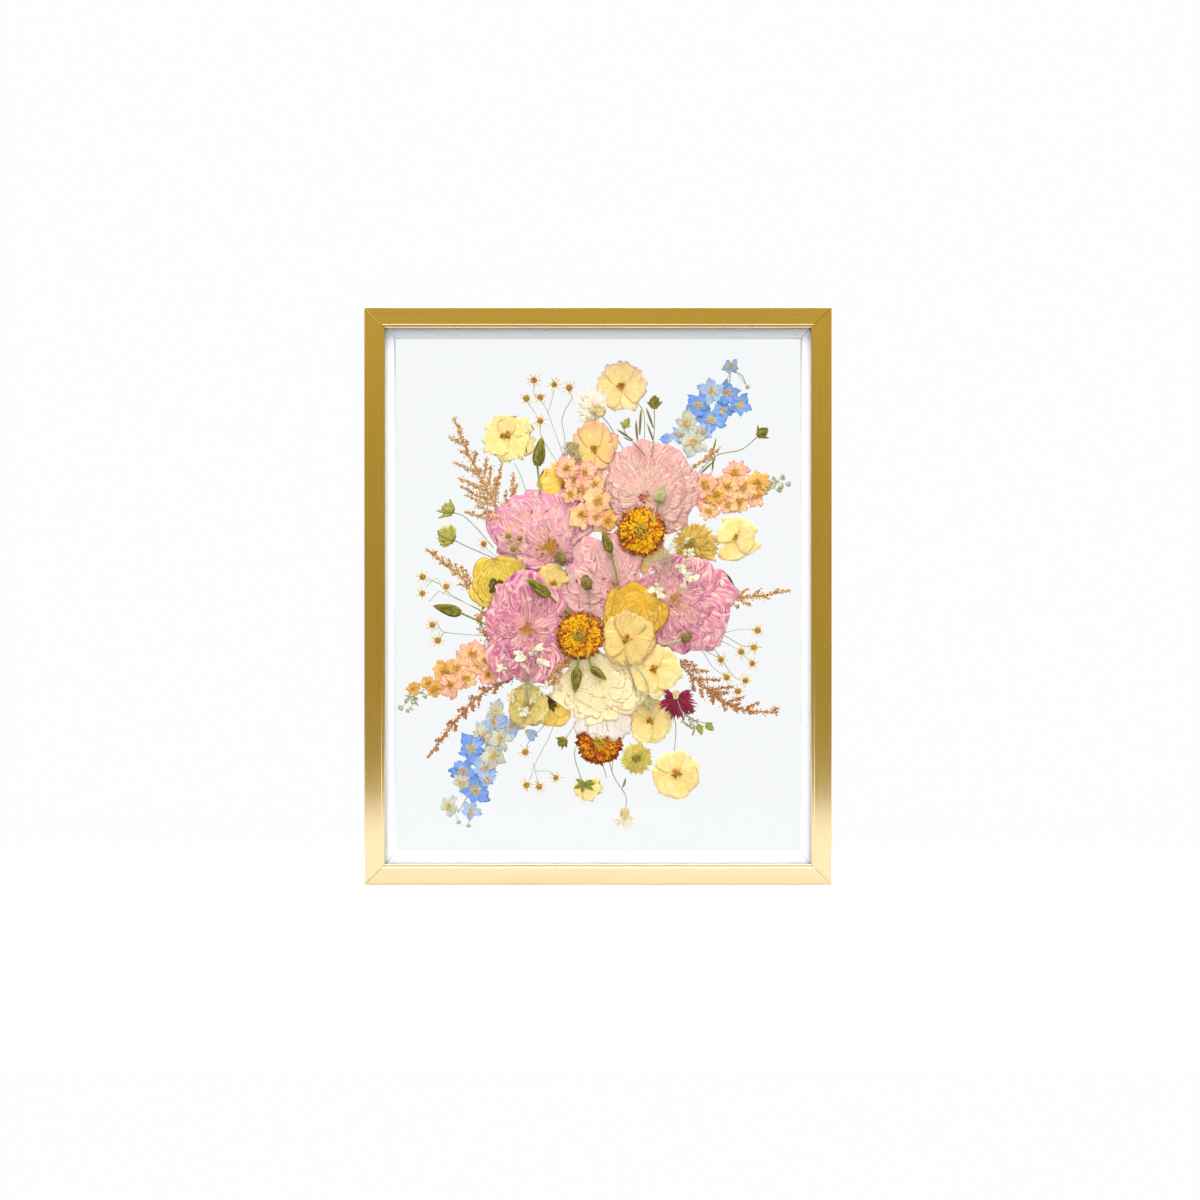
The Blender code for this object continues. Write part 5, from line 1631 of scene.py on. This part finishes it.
feverfew("feverfew_right", 124, [(149.5, 235), (146, 219), (134, 215), (115, 207.5), (144.5, 204),
    (120.5, 191), (138, 188), (131, 178)], [[(104, 228), (120, 233), (133.5, 236), (147, 235.5)],
    [(108, 227), (118, 224), (129, 218), (134, 217)], [(104, 232), (118, 230), (134, 221), (146, 219)],
    [(134, 214), (138, 210), (144, 205)], [(98, 226), (107.5, 220), (113, 211), (123, 197), (129, 190),
    (136, 188)], [(92, 222), (99, 214), (107.5, 200.5), (119, 192)], [(94, 219), (102, 215), (113, 209)],
    [(117, 196), (122, 185), (130, 179)]])
feverfew("feverfew_bottom", 125, [(-68, 121), (-39.5, 97), (-55, 88.5), (-67, 90)],
    [[(-40, 158), (-50.5, 145.5), (-64.5, 131), (-66.5, 123)], [(-34, 158), (-42, 145), (-47, 132),
    (-58, 112), (-59, 104), (-56, 91)], [(-60, 111), (-62, 100), (-65, 92)],
    [(-59, 103), (-47, 103), (-41, 99)]])

# %% [markdown]
# ## Buds and pods
# The long poppy-like buds are a round rod with its radius given by a formula, plump near the base and
# drawn out to the tip, under three narrow sepals with yellow edges. Round buds and seed pods are the
# same rod, short and plump, with a crown of points.

# %% Buds and pods
BUD_GREEN = petal_finish("bud_dark_green", (84, 84, 30), (72, 70, 22), (98, 86, 30), (188, 172, 70),
    edge=(204, 184, 84), streaks=7, veins=0.55, edges=0.9, blotch=(112, 100, 40), spread=0.2, crinkle=0.25)
BUD_PALE = petal_finish("bud_yellow_green", (132, 130, 48), (170, 166, 82), (196, 190, 110), (128, 120, 44),
    edge=(104, 92, 36), streaks=8, veins=0.6, blotch=(140, 126, 56), blotches=0.5, spread=0.2)
BELL = petal_finish("bell_petal_lemon", (150, 148, 62), (204, 196, 108), (232, 220, 140), (170, 158, 74),
    edge=(150, 130, 60), streaks=12, veins=0.6, blotch=(236, 228, 156))
POD_GREY = petal_finish("pod_grey_green", (140, 136, 82), (196, 188, 136), (226, 222, 188), (130, 124, 76),
    edge=(120, 106, 62), streaks=12, veins=0.7, blotch=(168, 158, 106), spread=0.2)
POD_DARK = petal_finish("pod_olive", (96, 84, 36), (142, 126, 66), (176, 158, 96), (84, 66, 26),
    edge=(88, 60, 30), streaks=12, veins=0.7, blotch=(110, 84, 40), spread=0.2)
POINTED = Look(base=0.5, belly=0.35, tip=0.04, rounding=0.0, wave=0.04, folds=0.12, waves=2)
STEM = plain_finish("stalk_leafy", (98, 112, 34), (156, 162, 74), (140, 128, 58))


def add_bud(bunch, rng, tip, base, width, height, kind, sharp=0.6, flat=0.5):
    """A closed bud from base to tip, plumpest a third of the way along."""
    def profile(along):
        return width * np.maximum(np.sin(math.pi * along**sharp), 0.0) ** 0.75 + 0.12 * width

    middle = ((tip[0] + base[0]) / 2, (tip[1] + base[1]) / 2)
    path = [(*base, height), (*middle, height + 0.2), (*tip, height)]
    add_rod(bunch, path, profile, tone=0.4, kind=kind, form=POD, flat=flat)
    way = math.atan2(tip[1] - base[1], tip[0] - base[0])
    length = math.hypot(tip[0] - base[0], tip[1] - base[1])
    side = np.array((-0.36, 0.0, 0.36)) * width
    add_petals(bunch, SLIM, POINTED, rng, base[0] - side * math.sin(way), base[1] + side * math.cos(way),
        way - side * 0.012, length * np.array((0.92, 1.0, 0.92)), width * np.array((0.5, 0.36, 0.5)),
        height + flat * width * np.array((0.86, 1.08, 0.86)), kind)


def long_buds():
    rng = np.random.default_rng(131)
    bunch = Bunch()
    for tip, base, end in (((-52.4, 416), (-56.7, 388.6), (-54, 362)), ((-154, 258), (-128, 251),
            (-104, 240)), ((-66, 283), (-45, 267), (-28, 250)), ((4.3, 328), (12, 308), (20, 276)),
            ((-21.7, 176.5), (-19.5, 200), (-18, 212)), ((8, 188.5), (-6.3, 200.5), (-10, 214))):
        height = max(top_of_pile(*tip), top_of_pile(*base)) + 2.4
        width = 0.19 * math.hypot(tip[0] - base[0], tip[1] - base[1])
        add_bud(bunch, rng, tip, base, width, height, 0)
        middle = ((base[0] + end[0]) / 2, (base[1] + end[1]) / 2)
        stem = draped([base, middle, end], 0.9)
        stem[0, 2] = height
        add_rod(bunch, stem, 1.15, 1.0, tone=rng.uniform(), kind=1)
    bunch.finish("buds_long", [BUD_GREEN, STEM], "stem_green")


def round_buds():
    """Each bud: tip, base, width, finish and stem. Its height comes from the pile under its base."""
    rng = np.random.default_rng(132)
    bunch = Bunch()
    for tip, base, width, kind, stem in (((-146, 351), (-135, 345), 6.2, 0,
            [(-135, 345), (-126, 342), (-115, 332), (-106, 322), (-98, 312)]),
            ((-150, 328), (-134, 319), 6.8, 0, [(-134, 319), (-122, 313), (-107, 306.5), (-92, 300)]),
            ((53, 455), (52.5, 442), 4.6, 2, [(52.5, 442), (52.9, 427), (51.7, 410), (50, 396)]),
            ((159, 424), (149, 416), 4.4, 2, [(149, 416), (134, 404), (110.6, 398.6), (92.8, 380.7)]),
            ((29, 434), (24, 424), 3.0, 0, [(24, 424), (26, 419), (33, 411), (44, 398)]),
            ((-37, 127), (-30, 134), 4.6, 2, [(-30, 134), (-26, 140), (-20, 150)]),
            ((108, 141), (101, 148), 3.0, 0, [(101, 148), (90, 151), (79, 158), (74, 170)]),
            ((97, 137), (94, 147), 2.6, 0, [(94, 147), (88, 152), (80, 158)])):
        height = top_of_pile(*base) + 1.9
        add_bud(bunch, rng, tip, base, width, height, kind, 0.8)
        way = math.atan2(tip[1] - base[1], tip[0] - base[0]) + np.array((-0.8, -0.35, 0.05, 0.4, 0.85))
        add_petals(bunch, SLIM, POINTED, rng, base[0], base[1], way, width * rng.uniform(1.9, 2.7, 5),
            0.26 * width, height + 0.5 * width, kind)
        add_rod(bunch, draped(stem), 0.5, 0.45, tone=rng.uniform(), kind=1)
    bell = math.atan2(328 - 319, -150 + 134) + np.array((-0.75, -0.3, 0.2, 0.7))
    add_petals(bunch, PETAL, RUFFLED, rng, -135, 319.5, bell, rng.uniform(14, 17, 4), 5.5, 3.2, 3,
        dimmest=0.4)
    bunch.finish("buds_round", [BUD_PALE, WIRY, BUD_GREEN, BELL], "stem_green")


def pods():
    rng = np.random.default_rng(133)
    bunch = Bunch()
    for tip, base, width, kind, stem in (((60, 366), (56, 354), 5.6, 0, [(56, 354), (53, 347), (50, 336)]),
            ((-37, 306), (-32, 297), 4.6, 2, [(-32, 297), (-28, 288), (-24, 276)]),
            ((-12, 285), (-9, 273), 5.0, 2, [(-9, 273), (-7.5, 262), (-7, 248)]),
            ((86, 230), (78, 226), 4.4, 2, [(78, 226), (69, 224), (58, 221)]),
            ((48, 162), (47, 173), 4.6, 0, [(47, 173), (46, 185), (40, 196), (33, 203)])):
        height = top_of_pile(*base) + 1.9
        add_bud(bunch, rng, tip, base, width, height, kind, 1.1)
        way = math.atan2(tip[1] - base[1], tip[0] - base[0])
        turns = way + np.linspace(-1.2, 1.2, 9)
        mouth = (tip[0] - 0.35 * width * math.cos(way), tip[1] - 0.35 * width * math.sin(way))
        add_petals(bunch, SCALE, POINTED, rng, mouth[0], mouth[1], turns, 0.85 * width, 0.16 * width,
            height + 0.4 * width, kind)
        add_rod(bunch, draped(stem), 0.75, 0.6, tone=rng.uniform(), kind=1)
    bunch.finish("seed_pods", [POD_GREY, GREY_STALK, POD_DARK], "stem_green")


long_buds()
round_buds()
pods()

# %% [markdown]
# ## Stems and leaves
# Most stems run under the bouquet and only their ends show. Narrow leaves, one petal form each with a
# pointed look, stand beside the upper stems.

# %% Stems and leaves
LEAF = petal_finish("leaf_olive", (112, 106, 50), (128, 122, 62), (146, 138, 80), (96, 84, 40), streaks=8,
    blotch=(124, 92, 48), blotches=0.5, spread=0.2)


def stems_and_leaves():
    rng = np.random.default_rng(141)
    bunch = Bunch()
    under = [((35.5, 450), (43, 438), (43.4, 414), (42, 392)), ((-78.5, 392), (-72, 379), (-65.5, 360),
        (-60, 348)), ((0, 438), (9.3, 429), (20, 411), (28, 396)), ((117, 318), (109, 313.5), (96, 306)),
        ((-15, 93), (-22, 117.5), (-18, 132)), ((72, 152), (73, 142), (71.5, 120)),
        ((10, 118), (12, 106), (17, 94), (26, 80), (26, 68)), ((3, 114), (6, 104), (8, 97)),
        ((14, 117.5), (13, 104)), ((21.5, 86), (25, 90), (26, 95)), ((58, 376), (52, 402), (52, 418))]
    for points in under:
        add_rod(bunch, laid(points), 0.5, 0.42, tone=rng.uniform(), kind=0)
    over = [[(24, 207), (30, 196), (34, 184), (36, 172)], [(124, 478), (134, 474), (139, 464)],
        [(112, 404), (100, 396), (86, 384)]]
    for points in over:
        add_rod(bunch, draped(points), 0.5, 0.42, tone=rng.uniform(), kind=0)
    leaves = [((39, 418), (39.9, 442)), ((37, 412), (35, 432)), ((52, 424), (44.9, 443)),
        ((52, 412), (46, 428)), ((32.7, 413), (18, 423)), ((26, 424), (20, 430)), ((31, 412), (24, 416)),
        ((107.5, 402), (111, 415)), ((108, 397), (107, 382)), ((107, 392), (95, 381)), ((23, 88), (26, 97)),
        ((84, 156), (92, 160))]
    for foot, tip in leaves:
        way = math.atan2(tip[1] - foot[1], tip[0] - foot[0])
        length = math.hypot(tip[0] - foot[0], tip[1] - foot[1])
        add_petals(bunch, SLIM, LEAFY, rng, foot[0], foot[1], [way], length, 0.03 * length + 0.5,
            top_of_pile(*foot) + 0.7, 1)
    bunch.finish("stems_and_leaves", [WIRY, LEAF], "stem_green")


# %% [markdown]
# ## Loose petals under the pile
# Between the big blooms no glass shows, because loose petals fill the gaps from behind. They are plain
# broad petals close to the glass.

# %% Loose petals
def loose_petals():
    rng = np.random.default_rng(151)
    bunch = Bunch()
    for x, z, length, width, turn, kind in ((30, 300, 34, 14, 100, 1), (26, 296, 36, 13, 130, 0),
            (30, 296, 34, 14, 60, 0), (40, 290, 32, 14, 25, 1), (52, 286, 30, 14, 70, 0),
            (10, 262, 34, 14, 200, 1), (0, 256, 34, 14, 235, 0), (-30, 300, 26, 12, 150, 0),
            (-20, 268, 26, 12, 230, 1), (60, 236, 34, 13, 250, 2), (40, 220, 30, 12, 320, 2),
            (-40, 214, 28, 13, 210, 0), (-34, 200, 26, 12, 170, 2), (10, 246, 26, 12, 250, 2),
            (-2, 386, 24, 12, 290, 1), (14, 330, 26, 12, 150, 1), (20, 350, 30, 13, 190, 1),
            (-20, 340, 26, 12, 60, 1)):
        add_petals(bunch, BROAD, CLOUDY, rng, x, z, [math.radians(turn)], length, width,
            rng.uniform(0.3, 1.2), kind)
    bunch.finish("petals_loose", [PINK_FOLD, PEACH, CREAM], "peony_pink")


# %% [markdown]
# ## Unopened buds
# The stocks end in clusters of small unopened buds, and one more cluster lies over the upper blooms.
# Each is a handful of beads among short pointed sepals.

# %% Unopened buds
def budlets():
    rng = np.random.default_rng(161)
    bunch = Bunch()
    for x, z, spread, count in ((-26, 404, 3.2, 11), (-19, 396, 2.2, 8), (-33, 397, 2, 5),
            (158, 368, 2.5, 6), (166, 371, 3.5, 9), (-165, 174, 2.5, 6), (-173, 170, 3, 8),
            (82, 154, 3.5, 8), (89, 146, 3.5, 8)):
        height = top_of_pile(x, z) + 1.2
        at_x, at_z = x + rng.normal(0, spread, count), z + rng.normal(0, spread, count)
        add_beads(bunch, rng, at_x, at_z, height, rng.uniform(0.9, 1.7, count), rng.uniform(0, 1, count), 1)
        add_petals(bunch, SLIM, POINTED, rng, at_x, at_z, rng.uniform(0, 2 * math.pi, count),
            rng.uniform(3, 5.5, count), 0.8, height + 0.8, 0)
    bunch.finish("buds_unopened", [BUDLET, POD_GREY], "stem_green")


BUDLET = petal_finish("sepal_grey_olive", (150, 146, 96), (168, 162, 114), (196, 190, 142), (124, 118, 70),
    streaks=6, blotch=(208, 204, 170), blotches=0.5, spread=0.3)
stems_and_leaves()
loose_petals()
budlets()
plume("astilbe_left", "astilbe_strip_left", SEED_TAN, 106, [(-101, 222), (-110, 243), (-106, 262)],
    [(-112, 236), (-104, 234), (-114, 250), (-104, 252)], 1.8, replaced=False)
plume("astilbe_left", "astilbe_strip_middle", SEED_TAN, 107, [(-46, 183), (-35.5, 197), (-26, 210)],
    [(-42, 196), (-34, 206), (-36, 188), (-28, 202)], 2.2, rise=6.0, replaced=False)
plume("astilbe_left", "astilbe_strip_upper", SEED_TAN, 108, [(86, 386), (100, 395), (114, 405)],
    [(106, 405), (110, 396)], 1.4, replaced=False)
print(len(PIECES), "bunches,", sum(PIECES), "triangles")
